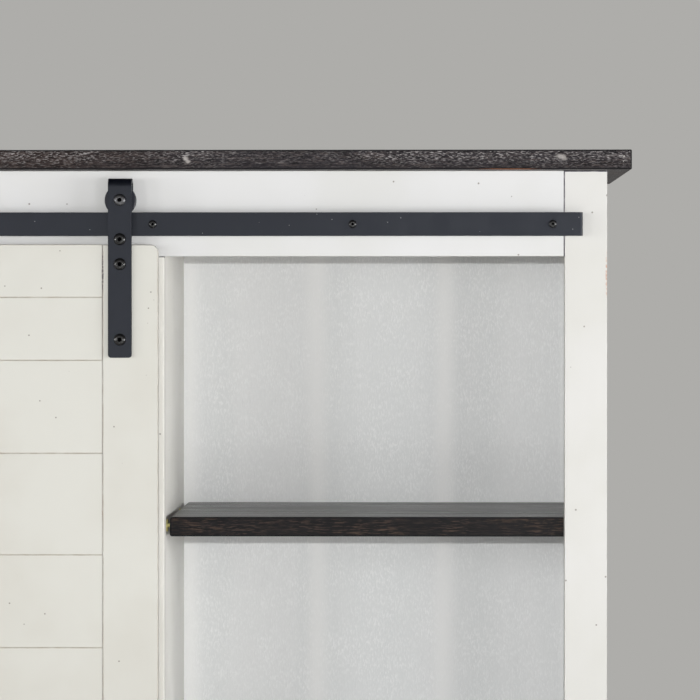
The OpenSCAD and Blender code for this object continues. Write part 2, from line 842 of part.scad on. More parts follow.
// The strap's outline seen from the front, with round corners at its foot
module hanger_face() {
    r = hanger_round;
    translate([-hanger_w / 2, r]) square([hanger_w, hanger_top - hanger_foot - r]);
    translate([-hanger_w / 2 + r, 0]) square([hanger_w - 2 * r, r + 1]);
    for (x = [-hanger_w / 2 + r, hanger_w / 2 - r]) translate([x, r]) circle(r);
}

module hanger(x) color([0.20, 0.21, 0.24]) translate([x, 0, 0]) difference() {
    intersection() {
        translate([-hanger_w / 2, hanger_y - hanger_t, hanger_foot]) rotate([90, 0, 90])
            linear_extrude(hanger_w) hanger_outline();
        translate([0, 0, hanger_foot]) rotate([90, 0, 0])
            linear_extrude(4 * top_d, center = true) hanger_face();
    }
    for (z = concat(bolts_z, [axle_z, jump_z]))
        rod_y(0, z, hanger_y - hanger_t - 1, tail_y + hanger_t + 1, bolt_d + 2 * hole_slack);
}

module hanger_left() hanger(hangers_x[0]);
module hanger_right() hanger(hangers_x[1]);

module wheel(x) color([0.24, 0.25, 0.28]) translate([x, wheel_y, axle_z]) rotate([90, 0, 0])
    rotate_extrude() wheel_section();

// Half of a wheel's section: radius to the right, width upwards
module wheel_section() {
    half = wheel_w / 2;
    groove = track_t / 2 + groove_play;
    flare = 0.8;
    bore = bush_d / 2 + run_slack;
    rim = wheel_r - wheel_chamfer;
    polygon([[bore, -half], [rim, -half], [wheel_r, -half + wheel_chamfer],
        [wheel_r, -groove - flare], [groove_r, -groove], [groove_r, groove],
        [wheel_r, groove + flare], [wheel_r, half - wheel_chamfer], [rim, half], [bore, half]]);
}

module wheel_left() wheel(hangers_x[0]);
module wheel_right() wheel(hangers_x[1]);

module wheel_bushes() color([0.75, 0.62, 0.35]) for (x = hangers_x) difference() {
    rod_y(x, axle_z, hanger_y, tail_y, bush_d);
    rod_y(x, axle_z, hanger_y - 1, tail_y + 1, bolt_d + 2 * hole_slack);
}

// A button-head bolt from the hanger's face back to the plane y1
module bolt(x, z, y1) {
    button_head(x, z, hanger_y - hanger_t, head_d, head_h, socket_w);
    rod_y(x, z, hanger_y - hanger_t - 1, y1, bolt_d);
}

module axle_bolts() color([0.32, 0.33, 0.36]) for (x = hangers_x)
    bolt(x, axle_z, tail_y + hanger_t);

module anti_jump_bolts() color([0.18, 0.19, 0.21]) for (x = hangers_x)
    bolt(x, jump_z, track_back_y + 2);

module hanger_bolts() color([0.18, 0.19, 0.21]) for (x = hangers_x, z = bolts_z)
    bolt(x, z, door_y0 + door_t - nut_end_gap);

module hanger_nuts() color([0.62, 0.62, 0.60]) hanger_bolt_places() difference() {
    back = door_y0 + door_t;
    union() {
        rod_y(0, 0, back - nut_flange_t - nut_barrel_l, back, nut_barrel_d);
        rod_y(0, 0, back - nut_flange_t, back, nut_flange_d);
    }
    rod_y(0, 0, door_y0, back + 1, bolt_d + 2 * hole_slack);
}

// ---- flush pull ----

module pull_screw_places() {
    for (s = [-1, 1]) translate([pull_x, 0, pull_z + s * (pull_h / 2 - pull_screw_inset)])
        children();
}

module flush_pull() color([0.18, 0.19, 0.21]) difference() {
    union() {
        translate([pull_x - pull_w / 2, door_y0, pull_z - pull_h / 2]) rotate([90, 0, 0])
            linear_extrude(pull_flange_t) round_rect(pull_w, pull_h, 5);
        block([pull_x - cup_w / 2, door_y0 - 0.5, pull_z - cup_h / 2],
            [cup_w, cup_depth + 0.5, cup_h]);
    }
    block([pull_x - cup_w / 2 + pull_wall, door_y0 - pull_flange_t - 1,
        pull_z - cup_h / 2 + pull_wall],
        [cup_w - 2 * pull_wall, cup_depth + pull_flange_t + 1 - pull_wall, cup_h - 2 * pull_wall]);
    pull_screw_places()
        rod_y(0, 0, door_y0 - pull_flange_t - 1, door_y0 + 1, pull_screw_d + 2 * hole_slack);
}

module pull_screws() color([0.16, 0.17, 0.19]) pull_screw_places() {
    button_head(0, 0, door_y0 - pull_flange_t, 2 * pull_screw_d, 1.8, 2);
    rod_y(0, 0, door_y0 - pull_flange_t - 0.5, door_y0 + pull_screw_in, pull_screw_d);
}

// ---- what is drawn ----

top_board();
front_stile_left();
front_stile_right();
centre_stile();
front_top_rail();
front_bottom_rail();
side_front_stile_left();
side_front_stile_right();
side_rear_stile_left();
side_rear_stile_right();
side_top_rail_left();
side_top_rail_right();
side_bottom_rail_left();
side_bottom_rail_right();
side_panel_left();
side_panel_right();
rear_top_rail();
rear_bottom_rail();
back_panel();
floor_panel();
floor_bearer();
floor_cleats();
partition();
top_cleats();
shelf_left();
shelf_right();
shelf_pins();
corner_blocks();
foot_glides();
top_screws();
cleat_screws();
back_screws();
track();
track_spacers();
track_screws();
guide_rail();
guide_screws();
stop_blocks();
stop_buffers();
door_stile_left();
door_stile_right();
door_board_1();
door_board_2();
door_board_3();
door_board_4();
door_board_5();
door_board_6();
door_board_7();
hanger_left();
hanger_right();
axle_bolts();
wheel_bushes();
wheel_left();
wheel_right();
anti_jump_bolts();
hanger_bolts();
hanger_nuts();
flush_pull();
pull_screws();
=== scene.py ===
"""Sideboard buffet with a sliding plank door: detailed pieces and finishes on its frame."""

import math

import bpy
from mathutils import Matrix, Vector


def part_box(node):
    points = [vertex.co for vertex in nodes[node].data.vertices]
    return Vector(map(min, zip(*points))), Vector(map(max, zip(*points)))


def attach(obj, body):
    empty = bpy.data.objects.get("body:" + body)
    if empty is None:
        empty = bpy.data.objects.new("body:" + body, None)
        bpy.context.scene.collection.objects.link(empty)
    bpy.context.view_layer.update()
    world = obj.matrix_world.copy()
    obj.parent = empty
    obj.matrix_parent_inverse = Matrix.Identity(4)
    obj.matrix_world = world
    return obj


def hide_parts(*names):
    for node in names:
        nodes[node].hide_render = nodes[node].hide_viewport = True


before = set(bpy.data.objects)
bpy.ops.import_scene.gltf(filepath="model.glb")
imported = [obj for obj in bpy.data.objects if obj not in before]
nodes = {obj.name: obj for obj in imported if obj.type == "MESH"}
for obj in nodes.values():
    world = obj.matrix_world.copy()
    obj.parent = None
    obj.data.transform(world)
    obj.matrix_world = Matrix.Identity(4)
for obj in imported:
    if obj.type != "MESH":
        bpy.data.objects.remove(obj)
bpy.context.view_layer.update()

MM = 0.001
X, Y, Z = Vector((1, 0, 0)), Vector((0, 1, 0)), Vector((0, 0, 1))
QUARTER = math.radians(90)
ROD_TURNS = {"x": (X, (0, QUARTER, 0)), "y": (Y, (QUARTER, 0, 0)), "z": (Z, (0, 0, 0))}
# Edges sharper than this are eased, and those sharper than the second angle stay crisp in shading.
SHARP = math.radians(35)
CRISP = math.radians(40)
# How far a cutter reaches past the wood.
SPARE = 10 * MM

# ---- making and shaping ----


def pick(*pieces):
    """Selects these pieces alone; the first is the active one."""
    bpy.ops.object.select_all(action="DESELECT")
    for piece in pieces:
        piece.select_set(True)
    bpy.context.view_layer.objects.active = pieces[0]


def settle(name):
    """Names the piece just added and puts its place into its mesh."""
    piece = bpy.context.object
    piece.name = name
    piece.data.name = name
    bpy.ops.object.transform_apply(location=True, rotation=True, scale=True)
    return piece


def block(name, low, high):
    """A block between two corners."""
    bpy.ops.object.select_all(action="DESELECT")
    low, high = Vector(low), Vector(high)
    bpy.ops.mesh.primitive_cube_add(size=1, location=(low + high) / 2, scale=high - low)
    return settle(name)


def rod(name, start, diameter, length, sides=48, along="y"):
    """A round rod along one axis, from the middle of its lower end."""
    direction, turn = ROD_TURNS[along]
    bpy.ops.object.select_all(action="DESELECT")
    bpy.ops.mesh.primitive_cylinder_add(
        vertices=sides,
        radius=diameter / 2,
        depth=length,
        location=Vector(start) + direction * length / 2,
        rotation=turn,
    )
    return settle(name)


def choose(piece, kind, wanted):
    """Goes into edit mode with only the wanted faces or edges selected."""
    pick(piece)
    mesh = piece.data
    bpy.ops.object.mode_set(mode="EDIT")
    bpy.ops.mesh.select_mode(type=kind)
    bpy.ops.mesh.select_all(action="DESELECT")
    bpy.ops.object.mode_set(mode="OBJECT")
    if kind == "FACE":
        for face in mesh.polygons:
            face.select = bool(wanted(face.center, face.normal))
    else:
        for edge in mesh.edges:
            a, b = (mesh.vertices[i].co for i in edge.vertices)
            edge.select = bool(wanted((a + b) / 2, (b - a).normalized()))
    bpy.ops.object.mode_set(mode="EDIT")


def leave():
    """Back to object mode."""
    bpy.ops.object.mode_set(mode="OBJECT")


def slice_at(piece, normal, places):
    """Cuts edges round the piece where it meets planes across the normal."""
    pick(piece)
    bpy.ops.object.mode_set(mode="EDIT")
    for place in places:
        bpy.ops.mesh.select_all(action="SELECT")
        bpy.ops.mesh.bisect(plane_co=normal * place, plane_no=normal)
    leave()


def push(piece, wanted, shift):
    """Extrudes the wanted faces by the shift."""
    choose(piece, "FACE", wanted)
    bpy.ops.mesh.extrude_region_move(TRANSFORM_OT_translate={"value": shift})
    leave()


def round_edges(piece, radius, wanted, rounds=4):
    """Rounds only the wanted edges."""
    choose(piece, "EDGE", wanted)
    bpy.ops.mesh.bevel(offset=radius, segments=rounds, affect="EDGES")
    leave()


def modify(piece, kind, **settings):
    """Adds a modifier with these settings and applies it."""
    pick(piece)
    bpy.ops.object.modifier_add(type=kind)
    modifier = piece.modifiers[-1]
    for setting, value in settings.items():
        setattr(modifier, setting, value)
    bpy.ops.object.modifier_apply(modifier=modifier.name)


def ease(piece, width, rounds=3):
    """Rounds every sharp edge of the piece."""
    modify(
        piece, "BEVEL", width=width, segments=rounds, limit_method="ANGLE", angle_limit=SHARP
    )


def cut(piece, *cutters):
    """Takes each cutter's shape out of the piece."""
    for cutter in cutters:
        modify(piece, "BOOLEAN", object=cutter, operation="DIFFERENCE", solver="EXACT")
        bpy.data.objects.remove(cutter)


def smooth(piece):
    """Shades round parts smooth and keeps broad faces flat."""
    pick(piece)
    bpy.ops.object.shade_smooth_by_angle(angle=CRISP)
    modify(piece, "WEIGHTED_NORMAL", keep_sharp=True, weight=50)


def copy_at(piece, shift):
    """A copy of the piece, moved by the shift, with a mesh of its own."""
    pick(piece)
    bpy.ops.object.duplicate()
    bpy.ops.transform.translate(value=shift)
    return settle(piece.name + "_copy")


def join(name, pieces):
    """Makes one piece of several."""
    pick(*pieces)
    bpy.ops.object.join()
    return settle(name)


def fit(piece, body, slot, *replaced):
    """Gives the piece its finish and lets it ride on its body in place of the CAD nodes."""
    finish = FINISHES.get(replaced[0], FINISHES[slot])
    if piece.data.materials:
        piece.data.materials[0] = finish
    else:
        piece.data.materials.append(finish)
    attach(piece, body)
    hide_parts(*replaced)


# ---- node trees ----


def tint(red, green, blue):
    """A colour from its screen values, 0 to 255."""
    parts = [v / 255 for v in (red, green, blue)]
    return [v / 12.92 if v <= 0.04045 else ((v + 0.055) / 1.055) ** 2.4 for v in parts] + [1]


class Recipe:
    """A node tree with short ways to add to it."""

    def __init__(self, tree):
        self.tree = tree

    def add(self, kind, inputs=None, **settings):
        made = self.tree.nodes.new(kind)
        for setting, value in settings.items():
            setattr(made, setting, value)
        for name, value in (inputs or {}).items():
            self.feed(made.inputs[name], value)
        return made

    def feed(self, socket, value):
        if isinstance(value, bpy.types.NodeSocket):
            self.tree.links.new(value, socket)
        else:
            socket.default_value = value

    def maths(self, operation, *values):
        return self.add("ShaderNodeMath", dict(enumerate(values)), operation=operation).outputs[0]

    def times(self, *values):
        return self.maths("MULTIPLY", *values)

    def vector(self, operation, *values):
        made = self.add("ShaderNodeVectorMath", dict(enumerate(values)), operation=operation)
        return made.outputs["Value" if operation in ("LENGTH", "DOT_PRODUCT") else "Vector"]

    def stretch(self, place, *shares):
        return self.vector("MULTIPLY", place, shares)

    def apart(self, vector):
        return self.add("ShaderNodeSeparateXYZ", {0: vector}).outputs

    def together(self, *parts):
        return self.add("ShaderNodeCombineXYZ", dict(enumerate(parts))).outputs[0]

    def noise(self, place, scale, detail=2.0, roughness=0.5, distortion=0.0):
        made = self.add(
            "ShaderNodeTexNoise",
            {
                "Vector": place,
                "Scale": scale,
                "Detail": detail,
                "Roughness": roughness,
                "Distortion": distortion,
            },
        )
        return made.outputs[0]

    def ramp(self, value, low, high, to_low=0.0, to_high=1.0):
        made = self.add(
            "ShaderNodeMapRange",
            {0: value, 1: low, 2: high, 3: to_low, 4: to_high},
            interpolation_type="SMOOTHSTEP",
        )
        return made.outputs[0]

    def mix(self, share, first, second):
        made = self.add("ShaderNodeMix", {0: share, 6: first, 7: second}, data_type="RGBA")
        return made.outputs[2]

    def bump(self, height, distance, normal=None):
        inputs = {"Height": height, "Distance": distance}
        if normal is not None:
            inputs["Normal"] = normal
        return self.add("ShaderNodeBump", inputs).outputs[0]

    def use(self, group, **inputs):
        made = self.add("ShaderNodeGroup", node_tree=group)
        for name, value in inputs.items():
            self.feed(made.inputs[name.replace("_", " ").capitalize()], value)
        return made.outputs

    def place(self, kind="Object"):
        return self.add("ShaderNodeTexCoord").outputs[kind]


def shared(name, takes, gives):
    """A node group with named inputs and outputs, and its two ends."""
    group = bpy.data.node_groups.new(name, "ShaderNodeTree")
    for side, sockets in (("INPUT", takes), ("OUTPUT", gives)):
        for socket_name, kind in sockets.items():
            group.interface.new_socket(
                name=socket_name, in_out=side, socket_type="NodeSocket" + kind
            )
    recipe = Recipe(group)
    return group, recipe, recipe.add("NodeGroupInput").outputs, recipe.add("NodeGroupOutput")


# Each board takes its grain from a place this far from the last one's.
BOARD_SHIFTS = (0.73, 0.41, 0.29)


def make_board_place():
    """Where a point lies on its board: along the grain, from the middle, an edge or an end."""
    group, r, _, out = shared(
        "Board place",
        {},
        {"Grain": "Vector", "Middle": "Vector", "Edge": "Float", "End": "Float"},
    )
    place = r.place()

    def noted(name, output):
        return r.add("ShaderNodeAttribute", attribute_name=name).outputs[output]

    number = noted("board_number", "Fac")
    from_middle = r.vector("SUBTRACT", place, noted("board_middle", "Vector"))
    away = r.together(*(r.times(number, shift) for shift in BOARD_SHIFTS))
    run = noted("board_grain", "Vector")
    grain = r.vector("ADD", r.vector("MULTIPLY", place, run), away)
    inside = r.vector(
        "SUBTRACT", noted("board_half", "Vector"), r.vector("ABSOLUTE", from_middle)
    )
    x, y, z = r.apart(inside)
    low = r.maths("MINIMUM", x, y)
    high = r.maths("MAXIMUM", x, y)
    second = r.maths("MINIMUM", high, r.maths("MAXIMUM", low, z))
    end = r.vector("DOT_PRODUCT", inside, r.vector("SUBTRACT", (1, 1, 1), run))
    r.feed(out.inputs["Grain"], grain)
    r.feed(out.inputs["Middle"], from_middle)
    r.feed(out.inputs["Edge"], second)
    r.feed(out.inputs["End"], end)
    return group


def make_worn_edge():
    """A mask of rubbed places along the edges, here and there."""
    group, r, takes, out = shared(
        "Worn edge",
        {"Edge": "Float", "Place": "Vector", "Reach": "Float", "Amount": "Float"},
        {"Mask": "Float"},
    )
    ragged = r.noise(takes["Place"], 340.0, 3.0, 0.6)
    where = r.noise(takes["Place"], 14.0, 3.0, 0.6)
    low = r.maths("SUBTRACT", 0.9, r.times(takes["Amount"], 0.6))
    here = r.ramp(where, low, r.maths("ADD", low, 0.12))
    reach = r.times(takes["Reach"], r.times(ragged, 2.0))
    rubbed_and_shaded = r.maths("DIVIDE", r.maths("SUBTRACT", reach, takes["Edge"]), takes["Reach"])
    mask = r.times(r.ramp(rubbed_and_shaded, 0.0, 0.5), here)
    r.feed(out.inputs["Mask"], mask)
    return group


def make_specks():
    """Small round dots, thinly scattered."""
    group, r, takes, out = shared(
        "Specks",
        {"Place": "Vector", "Spacing": "Float", "Size": "Float", "Amount": "Float"},
        {"Mask": "Float"},
    )
    scale = r.maths("DIVIDE", 1.0, takes["Spacing"])
    cells = r.add("ShaderNodeTexVoronoi", {"Vector": takes["Place"], "Scale": scale})
    picked = r.apart(cells.outputs["Color"])
    size = r.times(takes["Size"], r.maths("ADD", 0.4, picked[1]))
    near = r.maths("DIVIDE", cells.outputs["Distance"], r.times(size, scale))
    dot = r.ramp(near, 1.0, 0.6)
    chosen = r.maths("LESS_THAN", picked[0], takes["Amount"])
    r.feed(out.inputs["Mask"], r.times(dot, chosen))
    return group


def make_wood_figure():
    """Broad figure, fine fibres and short dark pores, all along the grain."""
    group, r, takes, out = shared(
        "Wood figure",
        {"Grain": "Vector"},
        {"Figure": "Float", "Fibres": "Float", "Pores": "Float"},
    )
    grain = takes["Grain"]
    broad = r.noise(grain, 9.0, 3.0, 0.55, 0.3)
    figure = r.maths("SINE", r.times(broad, 95.0))
    fibres = r.noise(grain, 520.0, 3.0, 0.65)
    pores = r.ramp(r.noise(grain, 1150.0, 1.0), 0.60, 0.72)
    r.feed(out.inputs["Figure"], figure)
    r.feed(out.inputs["Fibres"], fibres)
    r.feed(out.inputs["Pores"], pores)
    return group


def make_dry_brush():
    """Broken streaks of pale wax along the grain."""
    group, r, takes, out = shared(
        "Dry brush", {"Grain": "Vector", "Place": "Vector", "Amount": "Float"}, {"Mask": "Float"}
    )
    streaks = r.noise(takes["Grain"], 620.0, 4.0, 0.7)
    broken = r.noise(takes["Place"], 210.0, 2.0, 0.6)
    patches = r.noise(takes["Place"], 16.0, 3.0, 0.6)
    level = r.maths("ADD", r.times(streaks, 0.6), r.times(broken, 0.4))
    level = r.maths("ADD", level, r.times(r.maths("SUBTRACT", patches, 0.5), 0.35))
    low = r.maths("SUBTRACT", 0.72, r.times(takes["Amount"], 0.2))
    r.feed(out.inputs["Mask"], r.ramp(level, low, r.maths("ADD", low, 0.09)))
    return group


def make_spot():
    """A ragged patch round one place."""
    group, r, takes, out = shared(
        "Spot", {"Place": "Vector", "Middle": "Vector", "Size": "Vector"}, {"Mask": "Float"}
    )
    away = r.vector("DIVIDE", r.vector("SUBTRACT", takes["Place"], takes["Middle"]), takes["Size"])
    ragged = r.times(r.noise(takes["Place"], 420.0, 3.0, 0.65), 0.9)
    distance = r.maths("ADD", r.vector("LENGTH", away), ragged)
    r.feed(out.inputs["Mask"], r.ramp(distance, 1.55, 0.75))
    return group


BOARD_PLACE = make_board_place()
WORN_EDGE = make_worn_edge()
SPECKS = make_specks()
WOOD_FIGURE = make_wood_figure()
DRY_BRUSH = make_dry_brush()
SPOT = make_spot()

# ---- finishes ----


def new_finish(name, **values):
    """A material with its Principled shader's plain values set on its own sockets."""
    finish = bpy.data.materials.new(name.replace("_", " "))
    finish.use_nodes = True
    recipe = Recipe(finish.node_tree)
    shader = finish.node_tree.nodes["Principled BSDF"]
    for socket, value in values.items():
        shader.inputs[socket.replace("_", " ")].default_value = value
    return finish, recipe, shader.inputs


# Colour of the painted shade in the gaps where boards butt.
JOINT_GAP_SHADE = tint(48, 44, 62)
WOOD_UNDER_PAINT = tint(142, 112, 88)
SPECK_DARK = tint(98, 88, 80)
SPECK_SPACING = 22.8 * MM
SPECK_SIZE = 1.35 * MM


def make_paint(name, colour, shadow, seam, seams, joints, wear, rubbed_and_shaded=(), specks=0.95):
    """Satin paint with brush marks, stained seams, painted shade in the gaps at board ends, worn
    edges, given worn places and patches of painted shade, and a few specks.
    """
    finish, r, shader = new_finish(name)
    board = r.use(BOARD_PLACE)
    place = r.place()
    cloudy = r.noise(place, 7.0, 3.0)
    marks = r.noise(board["Grain"], 330.0, 3.0, 0.6)
    shade = r.mix(r.ramp(cloudy, 0.35, 0.7), colour, shadow)
    shade = r.mix(r.ramp(marks, 0.62, 0.9, 0.0, 0.25), shade, shadow)
    stain = r.ramp(r.noise(place, 60.0, 3.0), 0.35, 0.65, seams * 0.4, seams)
    shade = r.mix(r.times(r.ramp(board["Edge"], 1.5 * MM, 0.5 * MM), stain), shade, seam)
    # Painted shade: a ragged dark line along each board's ends, standing in for the shadowed gap
    # where boards butt.
    ragged = r.ramp(r.noise(place, 90.0, 3.0), 0.3, 0.6, joints * 0.75, joints)
    shade = r.mix(r.times(r.ramp(board["End"], 1.7 * MM, 1.0 * MM), ragged), shade, JOINT_GAP_SHADE)
    worn = r.use(WORN_EDGE, edge=board["Edge"], place=place, reach=1.6 * MM, amount=wear)
    shade = r.mix(r.times(worn["Mask"], 0.7), shade, WOOD_UNDER_PAINT)
    # Given spots: worn places, and patches of painted shade in open seams.
    for middle, size, mark in rubbed_and_shaded:
        spot = r.use(SPOT, place=place, middle=middle, size=size)
        bare_and_shaded = r.times(spot["Mask"], r.ramp(r.noise(place, 260.0, 2.0), 0.4, 0.56))
        shade = r.mix(r.times(bare_and_shaded, 0.7), shade, mark)
    dots = r.use(SPECKS, place=place, spacing=SPECK_SPACING, size=SPECK_SIZE, amount=specks)
    shade = r.mix(r.times(dots["Mask"], 0.7), shade, SPECK_DARK)
    r.feed(shader["Base Color"], shade)
    r.feed(shader["Roughness"], r.ramp(cloudy, 0.3, 0.7, 0.38, 0.48))
    height = r.maths("ADD", r.times(marks, 0.35), r.noise(place, 45.0, 2.0))
    r.feed(shader["Normal"], r.bump(height, 0.12 * MM))
    return finish


# Upright bands of painted sheen on the back, standing in for lamp reflections: their pitch, where
# one lies and how far they waver.
SHEEN_BAND_PITCH = 178 * MM
FIRST_SHEEN_BAND = 115 * MM
SHEEN_BAND_WAVE = 12 * MM


def make_back_paint():
    """Thin grey-white wash over ply, mottled along its upright grain, with soft upright bands of
    painted sheen.
    """
    finish, r, shader = new_finish("back_paint")
    place = r.place()
    fibres = r.noise(r.stretch(place, 1.0, 1.0, 0.12), 560.0, 4.0, 0.7)
    bands = r.noise(r.stretch(place, 1.0, 1.0, 0.06), 13.0, 2.0, 0.5)
    mottle = r.noise(r.stretch(place, 1.0, 1.0, 0.35), 530.0, 3.0, 0.62)
    uneven = r.ramp(r.noise(place, 22.0, 3.0, 0.6), 0.35, 0.65, 0.45, 1.0)
    shade = r.mix(r.ramp(bands, 0.3, 0.7), tint(235, 237, 237), tint(241, 242, 242))
    shade = r.mix(r.ramp(fibres, 0.5, 0.75, 0.0, 0.2), shade, tint(212, 213, 214))
    pale = r.times(r.ramp(mottle, 0.46, 0.67, 0.0, 0.85), uneven)
    shade = r.mix(pale, shade, tint(253, 254, 254))
    x = r.apart(r.vector("ADD", place, r.stretch(bands, SHEEN_BAND_WAVE, 0, 0)))["X"]
    # Ten whole pitches are added, so that the sum stays over zero.
    turns = r.maths("FRACT", r.maths("DIVIDE", r.maths("ADD", x, 10 * SHEEN_BAND_PITCH - FIRST_SHEEN_BAND), SHEEN_BAND_PITCH))
    sheen_band = r.maths("ABSOLUTE", r.maths("SUBTRACT", turns, 0.5))
    # Painted sheen: the paler tint is laid in a soft band at each pitch.
    shade = r.mix(r.ramp(sheen_band, 0.0, 0.13, 0.7, 0.0), shade, tint(251, 251, 250))
    r.feed(shader["Base Color"], shade)
    r.feed(shader["Roughness"], r.ramp(fibres, 0.3, 0.7, 0.5, 0.62))
    wavy = r.bump(bands, 2.0 * MM)
    r.feed(shader["Normal"], r.bump(fibres, 0.12 * MM, normal=wavy))
    return finish


# The top is five staves glued side by side.
HALF_DEPTH = 0.2285
STAVE = 91.4 * MM
# Pale chips on the top's front edge: the middle (x, z), the reach each way and the strength.
PALE_CHIP = tint(178, 173, 169)
CHIP_DEEP = 3 * MM
TOP_CHIPS = (
    ((0.043, 0.903), (0.0040, 0.0036), 0.75),
    ((0.046, 0.899), (0.0042, 0.0030), 0.65),
    ((0.517, 0.9055), (0.0078, 0.0036), 0.6),
    ((0.521, 0.9025), (0.0052, 0.0032), 0.5),
    ((0.597, 0.9055), (0.0014, 0.0014), 0.9),
    ((0.596, 0.8985), (0.0009, 0.0009), 0.7),
)
# A brown rubbed line under them: its middle, reach and colour.
BROWN_RUB = ((0.452, -HALF_DEPTH, 0.8893), (0.047, 0.004, 0.0006), tint(176, 112, 72))


def make_top_wood():
    """Dark stained boards with pale wax left in the brushed grain."""
    finish, r, shader = new_finish("top_wood", Specular_IOR_Level=0.2)
    board = r.use(BOARD_PLACE)
    place = r.place()
    _, y, z = r.apart(board["Middle"])
    across = r.maths("DIVIDE", r.maths("ADD", y, HALF_DEPTH), STAVE)
    stave = r.maths("FLOOR", across)
    apart = r.together(r.times(stave, 0.37), 0.0, r.times(stave, 0.53))
    grain = r.vector("ADD", board["Grain"], apart)
    spread_out = r.vector("ADD", place, apart)
    wood = r.use(WOOD_FIGURE, grain=grain)
    tone = r.noise(r.stretch(spread_out, 0.5, 2.0, 0.4), 5.0, 2.0)
    flecks = r.noise(r.stretch(spread_out, 0.15, 1.0, 1.0), 760.0, 2.0, 0.6)
    dashes = r.noise(r.stretch(spread_out, 0.18, 1.0, 1.0), 1150.0, 2.0, 0.55)
    shade = r.mix(r.ramp(tone, 0.38, 0.62), tint(37, 25, 21), tint(38, 35, 39))
    shade = r.mix(r.ramp(wood["Figure"], 0.2, 1.0, 0.0, 0.5), shade, tint(26, 22, 23))
    shade = r.mix(r.ramp(wood["Fibres"], 0.45, 0.75, 0.0, 0.5), shade, tint(78, 70, 69))
    shade = r.mix(r.ramp(flecks, 0.47, 0.36, 0.0, 0.9), shade, tint(12, 9, 11))
    shade = r.mix(r.ramp(flecks, 0.53, 0.68, 0.0, 0.36), shade, tint(98, 88, 84))
    shade = r.mix(r.times(wood["Pores"], 0.7), shade, tint(12, 10, 11))
    upper = r.ramp(z, -10 * MM, 6 * MM, 0.25, 1.0)
    along = r.stretch(spread_out, 0.3, 1.0, 1.0)
    patchy = r.ramp(r.noise(along, 24.0, 3.0, 0.6), 0.36, 0.58, 0.3, 1.0)
    streaks = r.times(r.times(r.ramp(dashes, 0.52, 0.66), upper), patchy)
    shade = r.mix(r.times(streaks, 0.68), shade, tint(176, 171, 171))
    wax = r.use(DRY_BRUSH, grain=grain, place=along, amount=0.45)
    waxed = r.times(r.times(wax["Mask"], upper), 0.75)
    shade = r.mix(waxed, shade, tint(170, 166, 165))
    beside = r.maths("ABSOLUTE", r.maths("SUBTRACT", r.maths("FRACT", across), 0.5))
    inside = r.ramp(r.maths("ABSOLUTE", y), HALF_DEPTH - 1 * MM, HALF_DEPTH - 2 * MM)
    glue_line = r.times(r.ramp(beside, 0.488, 0.497), inside)
    shade = r.mix(r.times(glue_line, 0.8), shade, tint(8, 7, 9))
    for (chip_x, chip_z), (wide, tall), amount in TOP_CHIPS:
        middle, size = (chip_x, -HALF_DEPTH, chip_z), (wide, CHIP_DEEP, tall)
        spot = r.use(SPOT, place=place, middle=middle, size=size)
        shade = r.mix(r.times(spot["Mask"], amount), shade, PALE_CHIP)
    # Painted shade: the last millimetres before each edge are darkened nearly to black.
    rim = r.ramp(board["Edge"], 2.6 * MM, 1.5 * MM, 0.0, 0.9)
    shade = r.mix(rim, shade, tint(10, 9, 13))
    rub_middle, rub_size, rub_tint = BROWN_RUB
    worn = r.use(SPOT, place=place, middle=rub_middle, size=rub_size)
    shade = r.mix(r.times(worn["Mask"], 0.75), shade, rub_tint)
    r.feed(shader["Base Color"], shade)
    r.feed(shader["Roughness"], r.ramp(wood["Fibres"], 0.3, 0.7, 0.42, 0.58))
    height = r.maths("SUBTRACT", flecks, r.times(wood["Pores"], 0.8))
    r.feed(shader["Normal"], r.bump(height, 0.35 * MM))
    return finish


def make_shelf_wood():
    """Dark stain with short brown flecks along the grain and a streaky sheen."""
    finish, r, shader = new_finish("shelf_wood", Specular_IOR_Level=0.15)
    board = r.use(BOARD_PLACE)
    wood = r.use(WOOD_FIGURE, grain=board["Grain"])
    place = r.place()
    flecks = r.noise(r.stretch(place, 0.085, 1.0, 1.0), 860.0, 2.0, 0.6)
    clouds = r.ramp(r.noise(place, 14.0, 2.0, 0.5), 0.38, 0.6, 0.25, 1.0)
    shade = r.mix(r.ramp(wood["Figure"], -1.0, 1.0), tint(20, 18, 20), tint(14, 13, 15))
    shade = r.mix(r.ramp(wood["Fibres"], 0.45, 0.8, 0.0, 0.5), shade, tint(44, 39, 38))
    light = r.times(r.ramp(flecks, 0.52, 0.62, 0.0, 0.75), clouds)
    shade = r.mix(light, shade, tint(78, 62, 52))
    shade = r.mix(r.ramp(flecks, 0.46, 0.36, 0.0, 0.8), shade, tint(7, 6, 8))
    shade = r.mix(r.times(wood["Pores"], 0.6), shade, tint(8, 7, 7))
    # Painted shade: the last millimetres before each edge are darkened nearly to black.
    rim = r.ramp(board["Edge"], 2.8 * MM, 1.6 * MM, 0.0, 0.9)
    shade = r.mix(rim, shade, tint(6, 6, 10))
    edge = r.use(WORN_EDGE, edge=board["Edge"], place=place, reach=1.2 * MM, amount=0.5)
    shade = r.mix(r.times(edge["Mask"], 0.3), shade, tint(96, 82, 70))
    r.feed(shader["Base Color"], shade)
    streaks = r.noise(r.stretch(place, 0.08, 1.0, 1.0), 34.0, 3.0, 0.6)
    r.feed(shader["Roughness"], r.ramp(streaks, 0.35, 0.65, 0.255, 0.335))
    r.feed(shader["Normal"], r.bump(r.maths("ADD", wood["Fibres"], flecks), 0.12 * MM))
    return finish


